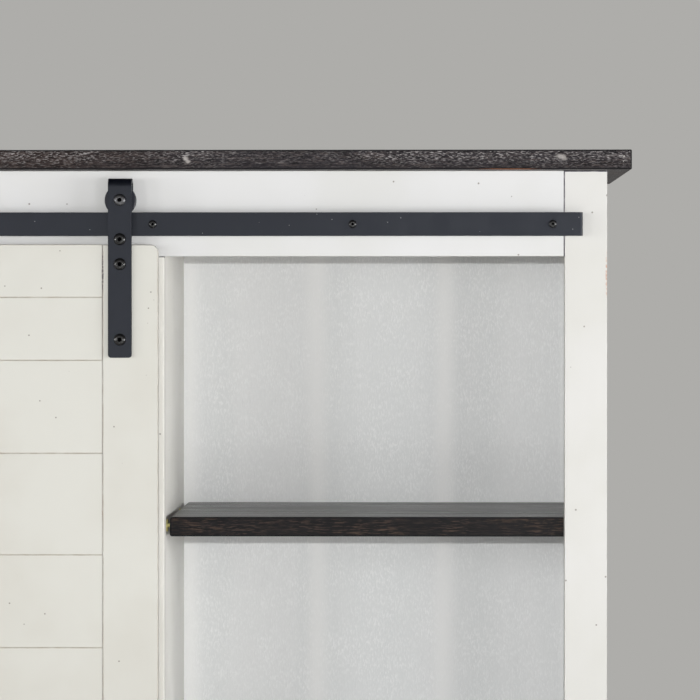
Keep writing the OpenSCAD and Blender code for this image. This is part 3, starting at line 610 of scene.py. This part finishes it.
def make_bare_wood(name, wash):
    """Plain sawn softwood, under a thin wash of the frame's paint where it shows."""
    finish, r, shader = new_finish(name)
    place = r.place()
    grain = r.stretch(place, 0.06, 1.0, 1.0)
    wood = r.use(WOOD_FIGURE, grain=grain)
    shade = r.mix(r.ramp(wood["Figure"], -1.0, 1.0), tint(206, 178, 138), tint(188, 155, 112))
    shade = r.mix(r.ramp(wood["Fibres"], 0.5, 0.8, 0.0, 0.5), shade, tint(222, 198, 160))
    washed = r.ramp(r.noise(grain, 90.0, 3.0, 0.6), 0.28, 0.46, wash * 0.7, wash)
    shade = r.mix(washed, shade, tint(212, 211, 206))
    r.feed(shader["Base Color"], shade)
    r.feed(shader["Roughness"], r.ramp(wood["Fibres"], 0.3, 0.7, 0.6, 0.75))
    r.feed(shader["Normal"], r.bump(wood["Fibres"], 0.2 * MM))
    return finish


DUST = tint(190, 190, 190)
DUST_SPACING = 9 * MM
DUST_SIZE = 0.45 * MM
NEUTRAL = (1, 1, 1, 1)


def make_metal(
    name, colour, light, rough, metallic=0.0, skin=0.02, dust=0.0, gloss=0.5, sheen=NEUTRAL
):
    """Coated or plated metal with a fine skin, cloudy gloss and a little dust."""
    finish, r, shader = new_finish(
        name, Metallic=metallic, Specular_IOR_Level=gloss, Specular_Tint=sheen
    )
    place = r.place()
    fine = r.noise(place, 1500.0, 2.0, 0.6)
    cloudy = r.noise(place, 55.0, 3.0, 0.6)
    shade = r.mix(r.ramp(cloudy, 0.35, 0.7), colour, light)
    dots = r.use(SPECKS, place=place, spacing=DUST_SPACING, size=DUST_SIZE, amount=0.4)
    shade = r.mix(r.times(dots["Mask"], dust), shade, DUST)
    r.feed(shader["Base Color"], shade)
    r.feed(shader["Roughness"], r.ramp(cloudy, 0.3, 0.7, rough - 0.05, rough + 0.06))
    r.feed(shader["Normal"], r.bump(fine, skin * MM))
    return finish


def make_soft_black(name, colour, light, rough):
    """Rubber or plastic with a dull skin."""
    finish, r, shader = new_finish(name)
    place = r.place()
    fine = r.noise(place, 700.0, 3.0, 0.6)
    r.feed(shader["Base Color"], r.mix(r.ramp(fine, 0.35, 0.7), colour, light))
    r.feed(shader["Roughness"], r.ramp(fine, 0.3, 0.7, rough, rough + 0.12))
    r.feed(shader["Normal"], r.bump(fine, 0.08 * MM))
    return finish


SEAM_STAIN = tint(176, 170, 160)
# A worn place on the right post: middle, reach and colour.
RUBBED_POST = ((0.5775, -0.1885, 0.756), (0.0020, 0.004, 0.034), tint(186, 132, 104))
# Painted shade in the open seam between the door's top board and its right stile: middle, reach
# and colour.
DOOR_SEAM_SHADE = ((-0.063, -0.2155, 0.758), (0.0016, 0.004, 0.030), tint(52, 46, 66))
# The posts' paint is a darker, warmer copy of the frame paint: partly their own tone, partly
# painted shade.
POST_TONE_AND_SHADE = make_paint(
    "post_paint", tint(210, 209, 206), tint(206, 205, 200), SEAM_STAIN,
    seams=0.1, joints=1.0, wear=0.34, rubbed_and_shaded=(RUBBED_POST,),
)
FINISHES = {
    "frame_paint": make_paint(
        "frame_paint", tint(213, 213, 213), tint(209, 209, 207), SEAM_STAIN,
        seams=0.1, joints=1.0, wear=0.34, specks=0.45,
    ),
    "front_stile_left": POST_TONE_AND_SHADE,
    "front_stile_right": POST_TONE_AND_SHADE,
    "door_paint": make_paint(
        "door_paint", tint(206, 205, 198), tint(201, 199, 191), tint(158, 142, 124),
        seams=0.45, joints=0.32, wear=0.5, rubbed_and_shaded=(DOOR_SEAM_SHADE,),
    ),
    # The partition's paint is a paler copy of the frame paint: painted light, for the light that
    # reaches its face inside the bay.
    "partition": make_paint(
        "partition_painted_light", tint(246, 244, 238), tint(241, 239, 232), SEAM_STAIN,
        seams=0.1, joints=0.8, wear=0.3,
    ),
    "centre_stile": make_paint(
        "middle_paint", tint(224, 222, 216), tint(219, 217, 210), tint(196, 190, 182),
        seams=0.0, joints=0.8, wear=0.2,
    ),
    "back_paint": make_back_paint(),
    "top_wood": make_top_wood(),
    "shelf_wood": make_shelf_wood(),
    "bare_wood": make_bare_wood("bare_wood", 0.0),
    "corner_blocks": make_bare_wood("washed_wood", 0.92),
    "black_steel": make_metal(
        "black_steel", tint(4, 6, 14), tint(7, 9, 18), 0.38,
        skin=0.05, dust=1.0, gloss=0.59, sheen=(0.83, 0.88, 1.0, 1),
    ),
    "black_bolts": make_metal("black_bolts", tint(7, 7, 8), tint(12, 12, 14), 0.24, gloss=0.7),
    "axle_steel": make_metal("axle_steel", tint(84, 84, 86), tint(104, 104, 106), 0.33, 0.9),
    "wheel_steel": make_metal("wheel_steel", tint(14, 17, 30), tint(20, 23, 36), 0.4, skin=0.03),
    "pin_zinc": make_metal("pin_zinc", tint(226, 216, 140), tint(214, 214, 176), 0.36, 0.5),
    "screw_zinc": make_metal("screw_zinc", tint(176, 176, 170), tint(196, 194, 184), 0.32, 0.9),
    "bush_brass": make_metal("bush_brass", tint(206, 172, 104), tint(188, 150, 84), 0.35, 0.95),
    "buffer_rubber": make_soft_black("buffer_rubber", tint(34, 34, 34), tint(44, 44, 45), 0.62),
    "glide_plastic": make_soft_black("glide_plastic", tint(70, 67, 65), tint(82, 79, 76), 0.45),
}

# ---- boards ----

GRAIN = {"x": (0.05, 1, 1), "y": (1, 0.05, 1), "z": (1, 1, 0.05)}
board_count = 0


def note_board(piece, low, high, grain):
    """Notes on the mesh where the board lies and which way its grain runs, for its finish."""
    global board_count
    board_count += 1
    low, high = Vector(low), Vector(high)
    notes = {
        "board_middle": (low + high) / 2,
        "board_half": (high - low) / 2,
        "board_grain": GRAIN[grain],
    }
    count = len(piece.data.vertices)
    for name, value in notes.items():
        layer = piece.data.attributes.new(name, "FLOAT_VECTOR", "POINT")
        layer.data.foreach_set("vector", list(value) * count)
    layer = piece.data.attributes.new("board_number", "FLOAT", "POINT")
    layer.data.foreach_set("value", [float(board_count)] * count)


def span(node, **limits):
    """A node's corners, with some of them set by its neighbours."""
    low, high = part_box(node)
    for limit, value in limits.items():
        axis = "xyz".index(limit[0])
        (low if limit.endswith("low") else high)[axis] = value
    return low, high


def low_of(node):
    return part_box(node)[0]


def high_of(node):
    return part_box(node)[1]


FRAME_EASE = 0.7 * MM


def add_board(node, grain, slot, eased=FRAME_EASE, shape=None, **limits):
    """A board in the place of a CAD node, with eased edges."""
    low, high = span(node, **limits)
    piece = block(node + "_board", low, high)
    if shape:
        shape(piece, low, high)
    ease(piece, eased)
    note_board(piece, low, high, grain)
    smooth(piece)
    fit(piece, "cabinet", slot, node)
    return piece


CORNER = 3 * MM
# The pins' groove in a shelf's end: how far in, from the front, and under and over the pins.
PIN_GROOVE_IN = 9 * MM
PIN_GROOVE_FRONT = 11 * MM
PIN_GROOVE_BELOW = 3.1 * MM
PIN_GROOVE_ABOVE = 2.5 * MM


def round_plan_corners(piece, low, high):
    """Rounds the upright edges of the top board."""
    round_edges(piece, CORNER, lambda place, run: abs(run.z) > 0.9)


def round_shelf_ends(piece, low, high):
    """Rounds the long edges at a shelf's two ends and cuts the grooves for its pins."""
    round_edges(piece, CORNER, lambda place, run: abs(run.y) > 0.9)
    pin_low, pin_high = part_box("shelf_pins")
    pin_z = (pin_low.z + pin_high.z) / 2
    front, rear = low.y + PIN_GROOVE_FRONT, high.y + SPARE
    floor_z, roof_z = pin_z - PIN_GROOVE_BELOW, pin_z + PIN_GROOVE_ABOVE
    for start, stop in (
        (low.x - SPARE, low.x + PIN_GROOVE_IN),
        (high.x - PIN_GROOVE_IN, high.x + SPARE),
    ):
        cut(piece, block("groove", (start, front, floor_z), (stop, rear, roof_z)))


def make_case():
    """The top, the front frame, the side frames, the back, the floor and the shelves."""
    left_x = high_of("front_stile_left").x
    right_x = low_of("front_stile_right").x
    add_board("top_board", "x", "top_wood", eased=1.5 * MM, shape=round_plan_corners)
    for node in ("front_stile_left", "front_stile_right"):
        add_board(node, "z", "frame_paint")
    for node in ("front_top_rail", "front_bottom_rail"):
        add_board(node, "x", "frame_paint", x_low=left_x, x_high=right_x)
    add_board(
        "centre_stile",
        "z",
        "frame_paint",
        eased=1.8 * MM,
        z_low=high_of("front_bottom_rail").z,
        z_high=low_of("front_top_rail").z,
    )
    for side in ("left", "right"):
        make_side(side)
    for node, grain in (("partition", "z"), ("floor_panel", "x")):
        add_board(node, grain, "frame_paint")
    add_board("back_panel", "z", "back_paint", eased=0.5 * MM)
    for node in ("shelf_left", "shelf_right"):
        add_board(node, "x", "shelf_wood", eased=0.9 * MM, shape=round_shelf_ends)


def make_side(side):
    """One side: two stiles, two rails and the panel that lies back between them."""
    front, rear = "side_front_stile_" + side, "side_rear_stile_" + side
    top, bottom = "side_top_rail_" + side, "side_bottom_rail_" + side
    panel_y = {"y_low": high_of(front).y, "y_high": low_of(rear).y}
    add_board(front, "z", "frame_paint")
    back_low, back_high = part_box("back_panel")

    def rebate(piece, low, high):
        cut(piece, block("rebate", back_low, back_high + (Y + Z) * 2 * SPARE))

    add_board(rear, "z", "frame_paint", shape=rebate)
    for node in (top, bottom):
        add_board(node, "y", "frame_paint", **panel_y)
    add_board(
        "side_panel_" + side,
        "z",
        "frame_paint",
        eased=0.3 * MM,
        z_low=high_of(bottom).z,
        z_high=low_of(top).z,
        **panel_y,
    )


# ---- door ----

BOARD_COUNT = 7
DOOR_EASE = 1.0 * MM
DOOR_CORNER = 10 * MM
GROOVE_W = 6 * MM
GROOVE_DEEP = 12 * MM
# The pull's plate stands this far past its cup, and the pocket for the cup is a little deeper.
PULL_SIDE = 5 * MM
PULL_END = 20 * MM
PULL_PLAY = 0.2 * MM


def guide_groove():
    """What is cut away along the door's lower edge for the guide's lip."""
    low, high = low_of("door_stile_left"), high_of("door_stile_right")
    middle = (low.y + high.y) / 2
    return block(
        "groove",
        (low.x - SPARE, middle - GROOVE_W / 2, low.z - SPARE),
        (high.x + SPARE, middle + GROOVE_W / 2, low.z + GROOVE_DEEP),
    )


def make_door():
    """Two stiles and seven boards between them."""
    left_x = high_of("door_stile_left").x
    right_x = low_of("door_stile_right").x
    top_z = high_of("door_stile_left").z
    pull_low, pull_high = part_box("flush_pull")
    for node, outer in (("door_stile_left", -1), ("door_stile_right", 1)):
        low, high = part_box(node)
        piece = block(node + "_board", low, high)
        edge_x = low.x if outer < 0 else high.x
        round_edges(
            piece,
            DOOR_CORNER,
            lambda place, run: abs(run.y) > 0.9 and abs(place.x - edge_x) < MM,
            6,
        )
        ease(piece, DOOR_EASE)
        cut(piece, guide_groove())
        if outer < 0:
            rim = Vector((PULL_SIDE, 0, PULL_END))
            pocket_low, pocket_high = pull_low + rim - Y * SPARE, pull_high - rim + Y * PULL_PLAY
            cut(piece, block("pocket", pocket_low, pocket_high))
        note_board(piece, low, high, "z")
        smooth(piece)
        fit(piece, "door", "door_paint", node)
    for number in range(1, BOARD_COUNT + 1):
        node = f"door_board_{number}"
        low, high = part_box(node)
        low.x, high.x = left_x, right_x
        high.z = top_z if number == 1 else low_of(f"door_board_{number - 1}").z
        piece = block(node + "_plank", low, high)
        ease(piece, DOOR_EASE)
        if number == BOARD_COUNT:
            cut(piece, guide_groove())
        note_board(piece, low, high, "x")
        smooth(piece)
        fit(piece, "door", "door_paint", node)


# ---- track, hangers and wheels ----

STRAP = 5 * MM
BEND = 11 * MM
STRAP_CORNER = 4 * MM
TAIL_BELOW = 6 * MM
TRACK_CHAMFER = 2.2 * MM
WHEEL_GROOVE_R = 15 * MM
WHEEL_GROOVE = 3.0 * MM
WHEEL_FLARE = 3.8 * MM
WHEEL_BORE = 12.1 * MM
HEAD_D = 15.5 * MM
HEAD_H = 4.5 * MM
HEAD_SOCKET = 5.8 * MM
HEAD_DOME = 0.88
SHANK_D = 8 * MM
SHANK_START = 0.9


def make_track():
    """The flat bar, chamfered at its two ends."""
    low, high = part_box("track")
    piece = block("track_bar", low, high)

    def on_front_end(place, run):
        return abs(run.z) > 0.9 and place.y < low.y + MM

    round_edges(piece, TRACK_CHAMFER, on_front_end, 1)
    ease(piece, 0.5 * MM)
    smooth(piece)
    fit(piece, "cabinet", "black_steel", "track")


# Painted shade: a near-black finish laid on the deep inner faces of the bolt sockets.
SOCKET_SHADE = make_metal("deep sockets", tint(3, 3, 4), tint(6, 6, 7), 0.8, gloss=0.05)


def button_head(name, front, diameter, height, socket, shank_d, length):
    """A round-headed bolt along Y with a hexagon socket; front is the middle of its face."""
    front = Vector(front)
    head = rod(name, front, diameter, height, 64)
    face_y = front.y + 0.1 * height

    def on_outer_edge(place, run):
        return place.y < face_y and (place - front).length > 0.4 * diameter

    def on_socket_edge(place, run):
        return place.y < face_y and (place - front).length < 0.55 * socket

    def deep_in_socket(place, normal):
        sideways = Vector((place.x - front.x, 0, place.z - front.z)).length
        depth = place.y - front.y
        return 0.25 * height - 0.1 * MM < depth < 0.95 * height and sideways < 0.51 * socket

    round_edges(head, HEAD_DOME * height, on_outer_edge, 8)
    cut(head, rod("socket", front - Y * height, socket, 1.85 * height, 6))
    head.data.materials.append(None)
    head.data.materials.append(SOCKET_SHADE)
    head.active_material_index = 1
    choose(head, "FACE", deep_in_socket)
    bpy.ops.object.material_slot_assign()
    leave()
    round_edges(head, 0.12 * MM, on_socket_edge, 2)
    shank = rod("shank", front + Y * SHANK_START * height, shank_d, length, 32)
    bolt = join(name, [head, shank])
    smooth(bolt)
    return bolt


def spread(bolt, name, shifts):
    """Copies of one bolt at several places, joined to one piece."""
    copies = [copy_at(bolt, shift) for shift in shifts]
    return join(name, [bolt] + copies)


def make_hanger(side):
    """A strap bent over its wheel: a long front leg and a short rear leg."""
    low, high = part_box("hanger_" + side)
    shoulder = high.z - BEND
    tail_z = low_of("wheel_bushes").z - TAIL_BELOW
    piece = block("hanger_strap_" + side, low, (high.x, low.y + STRAP, shoulder))

    def bend(wanted, middle_y):
        choose(piece, "FACE", wanted)
        bpy.ops.mesh.spin(
            steps=8, angle=QUARTER, center=(0, middle_y, shoulder), axis=(1, 0, 0)
        )
        leave()

    def on_front_end(place, normal):
        return normal.z > 0.9 and place.z > shoulder - MM

    def on_top_end(place, normal):
        return normal.y > 0.9 and place.z > shoulder + MM

    def on_tail_end(place, normal):
        return normal.z < -0.9 and place.y > high.y - STRAP and place.z > low.z + MM

    def on_foot_corner(place, run):
        return abs(run.y) > 0.9 and place.z < low.z + MM

    bend(on_front_end, low.y + BEND)
    push(piece, on_top_end, Y * (high.y - low.y - 2 * BEND))
    bend(on_top_end, high.y - BEND)
    push(piece, on_tail_end, Z * (tail_z - shoulder))
    round_edges(piece, STRAP_CORNER, on_foot_corner, 5)
    ease(piece, 0.7 * MM)
    pick(piece)
    bpy.ops.object.mode_set(mode="EDIT")
    bpy.ops.mesh.select_all(action="SELECT")
    bpy.ops.mesh.remove_doubles(threshold=0.00001)
    bpy.ops.mesh.normals_make_consistent(inside=False)
    leave()
    smooth(piece)
    fit(piece, "door", "black_steel", "hanger_" + side)


def make_wheel(side):
    """A grooved wheel on its bush."""
    node = "wheel_" + side
    low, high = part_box(node)
    middle = (low + high) / 2
    diameter, width = high.z - low.z, high.y - low.y
    narrow = 2 * WHEEL_GROOVE_R / diameter

    def in_groove(place, normal):
        return abs(place.y - middle.y) < WHEEL_GROOVE and abs(normal.y) < 0.5

    def on_rim(place, run):
        return abs(abs(place.y - middle.y) - width / 2) < 0.1 * MM

    piece = rod(node + "_grooved", middle - Y * width / 2, diameter, width, 96)
    for aside in (-WHEEL_FLARE, -WHEEL_GROOVE, WHEEL_GROOVE, WHEEL_FLARE):
        slice_at(piece, Y, [middle.y + aside])
    choose(piece, "FACE", in_groove)
    bpy.ops.transform.resize(value=(narrow, 1, narrow), center_override=middle)
    leave()
    round_edges(piece, 1.4 * MM, on_rim)
    ease(piece, 0.35 * MM, 2)
    cut(piece, rod("bore", middle - Y * width, WHEEL_BORE, 2 * width))
    smooth(piece)
    fit(piece, node, "wheel_steel", node)


def make_hardware():
    """The hangers, their wheels and every bolt."""
    for side in ("left", "right"):
        make_hanger(side)
        make_wheel(side)
    left_x, right_x = (
        (low_of(strap).x + high_of(strap).x) / 2 for strap in ("hanger_left", "hanger_right")
    )
    over = X * (right_x - left_x)
    for node, slot in (
        ("axle_bolts", "axle_steel"),
        ("anti_jump_bolts", "black_bolts"),
        ("hanger_bolts", "black_bolts"),
    ):
        low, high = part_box(node)
        first = (left_x, low.y, low.z + HEAD_D / 2)
        shank = high.y - low.y - SHANK_START * HEAD_H
        bolt = button_head(node + "_set", first, HEAD_D, HEAD_H, HEAD_SOCKET, SHANK_D, shank)
        rise = Z * (high.z - low.z - HEAD_D)
        shifts = [over] if rise.length < MM else [over, rise, over + rise]
        piece = spread(bolt, node + "_set", shifts)
        fit(piece, "door", slot, node)
    for node, diameter, height, socket, shank_d in (
        ("track_screws", 10.5 * MM, 3.3 * MM, 3.8 * MM, 6 * MM),
        ("guide_screws", 8 * MM, 2.2 * MM, 3.0 * MM, 4 * MM),
    ):
        low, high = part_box(node)
        first = (low.x + diameter / 2, low.y, (low.z + high.z) / 2)
        shank = high.y - low.y - SHANK_START * height
        screw = button_head(node + "_set", first, diameter, height, socket, shank_d, shank)
        step = (high.x - low.x - diameter) / 4
        piece = spread(screw, node + "_set", [X * step * i for i in range(1, 5)])
        fit(piece, "cabinet", "black_bolts", node)


# ---- guide, stops and pull ----

GUIDE_SHEET = 3 * MM
GUIDE_FLANGE = 24 * MM
STOP_PLAY = 0.1 * MM


def make_guide():
    """The guide rail, its stop blocks and their rubber."""
    low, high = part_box("guide_rail")
    web_z = low.z + GUIDE_FLANGE
    web_top = web_z + GUIDE_SHEET

    def on_lip(place, normal):
        return normal.z > 0.9 and place.y < low.y + GUIDE_SHEET

    def on_flange(place, normal):
        return normal.z < -0.9 and place.y > high.y - GUIDE_SHEET

    piece = block("guide_rail_bar", (low.x, low.y, web_z), (high.x, high.y, web_top))
    slice_at(piece, Y, [low.y + GUIDE_SHEET, high.y - GUIDE_SHEET])
    push(piece, on_lip, Z * (high.z - web_z - GUIDE_SHEET))
    push(piece, on_flange, Z * -GUIDE_FLANGE)
    ease(piece, 0.6 * MM)
    smooth(piece)
    fit(piece, "cabinet", "black_steel", "guide_rail")
    slot_front, slot_rear = low.y - STOP_PLAY, low.y + GUIDE_SHEET + STOP_PLAY
    slot_top = high.z + STOP_PLAY
    for node, length, eased, finish in (
        ("stop_blocks", 14 * MM, 1.0 * MM, "black_steel"),
        ("stop_buffers", 4 * MM, 0.8 * MM, "buffer_rubber"),
    ):
        first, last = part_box(node)
        ends = []
        for start in (first.x, last.x - length):
            end = block("end", (start, first.y, first.z), (start + length, last.y, last.z))
            ease(end, eased)
            slot_low = (start - SPARE, slot_front, first.z - SPARE)
            slot_high = (start + 3 * SPARE, slot_rear, slot_top)
            cut(end, block("slot", slot_low, slot_high))
            smooth(end)
            ends.append(end)
        piece = join(node + "_pair", ends)
        fit(piece, "cabinet", finish, node)


PULL_PLATE = 2 * MM
PULL_WALL = 1.5 * MM
PULL_CORNER = 5 * MM


def make_pull():
    """A flush pull: a plate with round corners and a deep cup."""
    low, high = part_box("flush_pull")

    def within(place, margin):
        side, end = PULL_SIDE + margin, PULL_END + margin
        return low.x + side < place.x < high.x - side and low.z + end < place.z < high.z - end

    def on_cup_rear(place, normal):
        return normal.y > 0.9 and within(place, 0)

    def on_cup_floor(place, normal):
        return normal.y < -0.9 and within(place, PULL_WALL)

    piece = block("flush_pull_cup", low, (high.x, low.y + PULL_PLATE, high.z))
    round_edges(piece, PULL_CORNER, lambda place, run: abs(run.y) > 0.9, 6)
    for axis, start, stop, rim in (
        (X, low.x, high.x, PULL_SIDE),
        (Z, low.z, high.z, PULL_END),
    ):
        inner = rim + PULL_WALL
        slice_at(piece, axis, [start + rim, start + inner, stop - inner, stop - rim])
    push(piece, on_cup_rear, Y * (high.y - low.y - PULL_PLATE))
    push(piece, on_cup_floor, Y * (high.y - low.y - PULL_WALL))
    ease(piece, 0.6 * MM)
    smooth(piece)
    fit(piece, "door", "black_steel", "flush_pull")
    low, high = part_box("pull_screws")
    diameter = high.x - low.x
    place = Vector(((low.x + high.x) / 2, low.y, low.z + diameter / 2))
    screw = button_head("pull_screws_set", place, diameter, 1.8 * MM, 2 * MM, 3.5 * MM, 14 * MM)
    piece = spread(screw, "pull_screws_set", [Z * (high.z - low.z - diameter)])
    fit(piece, "door", "black_bolts", "pull_screws")


# ---- shelf pins and glides ----

PIN_D = 5 * MM
COLLAR_D = 16 * MM
COLLAR_T = 2 * MM
PIN_LENGTH = 22 * MM


def make_pins():
    """Plated pins: a rod from the wood into the shelf's groove, with a collar against the wood."""
    low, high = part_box("shelf_pins")
    left_x, right_x = high_of("partition").x, low_of("side_panel_right").x
    middle = Vector((left_x, low.y + COLLAR_D / 2, (low.z + high.z) / 2))
    stem = rod("stem", middle - X * (high.x - right_x), PIN_D, PIN_LENGTH, 32, along="x")
    ease(stem, 0.5 * MM)
    collar = rod("collar", middle, COLLAR_D, COLLAR_T, along="x")
    ease(collar, 0.4 * MM)
    pin = join("pin", [stem, collar])
    smooth(pin)
    turned = copy_at(pin, X * 0)
    pivot = (0, middle.y, middle.z)
    bpy.ops.transform.rotate(value=math.pi, orient_axis="Z", center_override=pivot)
    turned = settle("pin_turned")
    deep = Y * (high.y - low.y - COLLAR_D)
    across = X * (left_x + right_x)
    pins = [pin, turned, copy_at(pin, -across), copy_at(turned, across)]
    pins += [copy_at(near, deep) for near in pins]
    piece = join("shelf_pins_set", pins)
    fit(piece, "cabinet", "pin_zinc", "shelf_pins")


GLIDE_D = 28 * MM
GLIDE_T = 4 * MM


def make_glides():
    """A round glide under each leg."""
    low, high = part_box("foot_glides")
    first, *others = [
        Vector((x, y, low.z))
        for x in (low.x + GLIDE_D / 2, high.x - GLIDE_D / 2)
        for y in (low.y + GLIDE_D / 2, high.y - GLIDE_D / 2)
    ]
    glide = rod("glide", first, GLIDE_D, GLIDE_T, 64, along="z")
    round_edges(glide, 1.2 * MM, lambda place, run: place.z < low.z + 0.1 * MM, 3)
    smooth(glide)
    copies = [copy_at(glide, other - first) for other in others]
    piece = join("foot_glides_set", [glide] + copies)
    fit(piece, "cabinet", "glide_plastic", "foot_glides")


make_case()
make_door()
make_track()
make_hardware()
make_guide()
make_pull()
make_pins()
make_glides()

KEPT = {
    "bare_wood": (
        "rear_top_rail",
        "rear_bottom_rail",
        "floor_bearer",
        "floor_cleats",
        "top_cleats",
        "corner_blocks",
    ),
    "screw_zinc": ("top_screws", "cleat_screws", "back_screws", "hanger_nuts"),
    "black_steel": ("track_spacers",),
    "bush_brass": ("wheel_bushes",),
}
for slot, kept_nodes in KEPT.items():
    for node in kept_nodes:
        nodes[node].data.materials.clear()
        nodes[node].data.materials.append(FINISHES.get(node, FINISHES[slot]))

# ---- floor, lamps and camera ----

BACKDROP = tint(174, 173, 170)
LEFT_AIM = (0.0, -0.2, 0.7)
RIGHT_AIM = (0.2, -0.2, 0.7)
scene = bpy.context.scene


def make_floor():
    """A pale floor that fades into the backdrop."""
    bpy.ops.object.select_all(action="DESELECT")
    bpy.ops.mesh.primitive_plane_add(size=60, location=(0, 0, 0))
    floor = settle("floor")
    finish, r, shader = new_finish("pale_floor", Roughness=0.9)
    near = r.vector("LENGTH", r.place())
    pale = r.mix(r.noise(r.place(), 3.0), tint(206, 205, 201), tint(210, 209, 206))
    r.feed(shader["Base Color"], pale)
    glow = r.add("ShaderNodeEmission", {"Color": BACKDROP})
    fade = r.add("ShaderNodeMixShader", {0: r.ramp(near, 1.05, 1.85), 2: glow.outputs[0]})
    tree = finish.node_tree
    tree.links.new(tree.nodes["Principled BSDF"].outputs[0], fade.inputs[1])
    tree.links.new(fade.outputs[0], tree.nodes["Material Output"].inputs["Surface"])
    floor.data.materials.append(finish)


def make_world(strength):
    """A plain backdrop for the eye and for gloss, and even light for the rest."""
    world = bpy.data.worlds.new("studio")
    scene.world = world
    world.use_nodes = True
    r = Recipe(world.node_tree)
    path = r.add("ShaderNodeLightPath").outputs
    seen = r.maths("MAXIMUM", path["Is Camera Ray"], path["Is Glossy Ray"])
    seen = r.maths("MAXIMUM", seen, path["Is Transmission Ray"])
    height = r.apart(r.place("Generated"))["Z"]
    dim = r.ramp(height, 0.12, 0.7, 1.0, 0.25)
    even = world.node_tree.nodes["Background"]
    even.inputs["Color"].default_value = (1, 1, 1, 1)
    r.feed(even.inputs["Strength"], r.times(dim, strength))
    plain = r.add("ShaderNodeBackground", {"Color": BACKDROP, "Strength": dim})
    both = r.add("ShaderNodeMixShader", {0: seen, 1: even.outputs[0], 2: plain.outputs[0]})
    output = world.node_tree.nodes["World Output"]
    world.node_tree.links.new(both.outputs[0], output.inputs["Surface"])


def lamp(name, place, aim, power, width, height, glossy=True):
    """A soft lamp that faces its aim."""
    bpy.ops.object.light_add(type="AREA", location=place)
    made = bpy.context.object
    made.name = name
    made.data.shape = "RECTANGLE"
    made.data.size = width
    made.data.size_y = height
    made.data.energy = power
    made.visible_camera = False
    made.visible_glossy = glossy
    made.rotation_mode = "QUATERNION"
    made.rotation_quaternion = (Vector(aim) - Vector(place)).to_track_quat("-Z", "Y")


def make_camera(place, aim, lens):
    """The eye: where it stands, what it faces and its lens."""
    bpy.ops.object.camera_add(location=place)
    camera = bpy.context.object
    camera.data.sensor_width = 36
    camera.data.lens = lens
    camera.data.clip_start = 0.1
    camera.data.clip_end = 100
    camera.rotation_mode = "QUATERNION"
    camera.rotation_quaternion = (Vector(aim) - Vector(place)).to_track_quat("-Z", "Y")
    scene.camera = camera


make_floor()
make_world(0.10)
lamp("key", (0.313, -4.6, 0.80), (0.25, -0.19, 0.66), 66, 0.035, 0.035, glossy=False)
lamp("front", (0.6, -4.75, 0.66), (0.35, -0.19, 0.66), 10, 1.2, 0.5)
lamp("near_left", (-1.6, -3.3, 0.90), LEFT_AIM, 13, 0.4, 0.4)
lamp("far_left", (-2.2, -2.25, 0.75), LEFT_AIM, 9, 0.35, 0.35)
lamp("side_left", (-3.2, -1.4, 0.80), LEFT_AIM, 20, 0.5, 0.5)
lamp("near_right", (1.75, -3.3, 0.45), RIGHT_AIM, 12, 0.5, 0.5)
lamp("far_right", (2.75, -1.85, 0.55), RIGHT_AIM, 25, 0.8, 0.8)
lamp("side_right", (3.4, -1.3, 0.60), RIGHT_AIM, 34, 0.8, 0.8)
lamp("low", (0.3, -1.95, 0.06), (0.25, -0.2, 0.8), 2.8, 1.2, 0.2)
lamp("over", (0.0, 0.7, 3.2), (0.0, 0.3, 0.9), 60, 1.6, 1.2)
lamp("behind", (-0.8, 3.6, 1.6), (0.0, 0.2, 0.5), 40, 1.6, 1.2)
lamp("rear_left", (-3.0, 1.3, 1.1), (-0.58, 0.0, 0.5), 26, 0.8, 0.8)
make_camera((0.313, -4.6185, 0.6908), (0.2504, -0.1885, 0.6605), 178.65)
scene.view_settings.view_transform = "Standard"
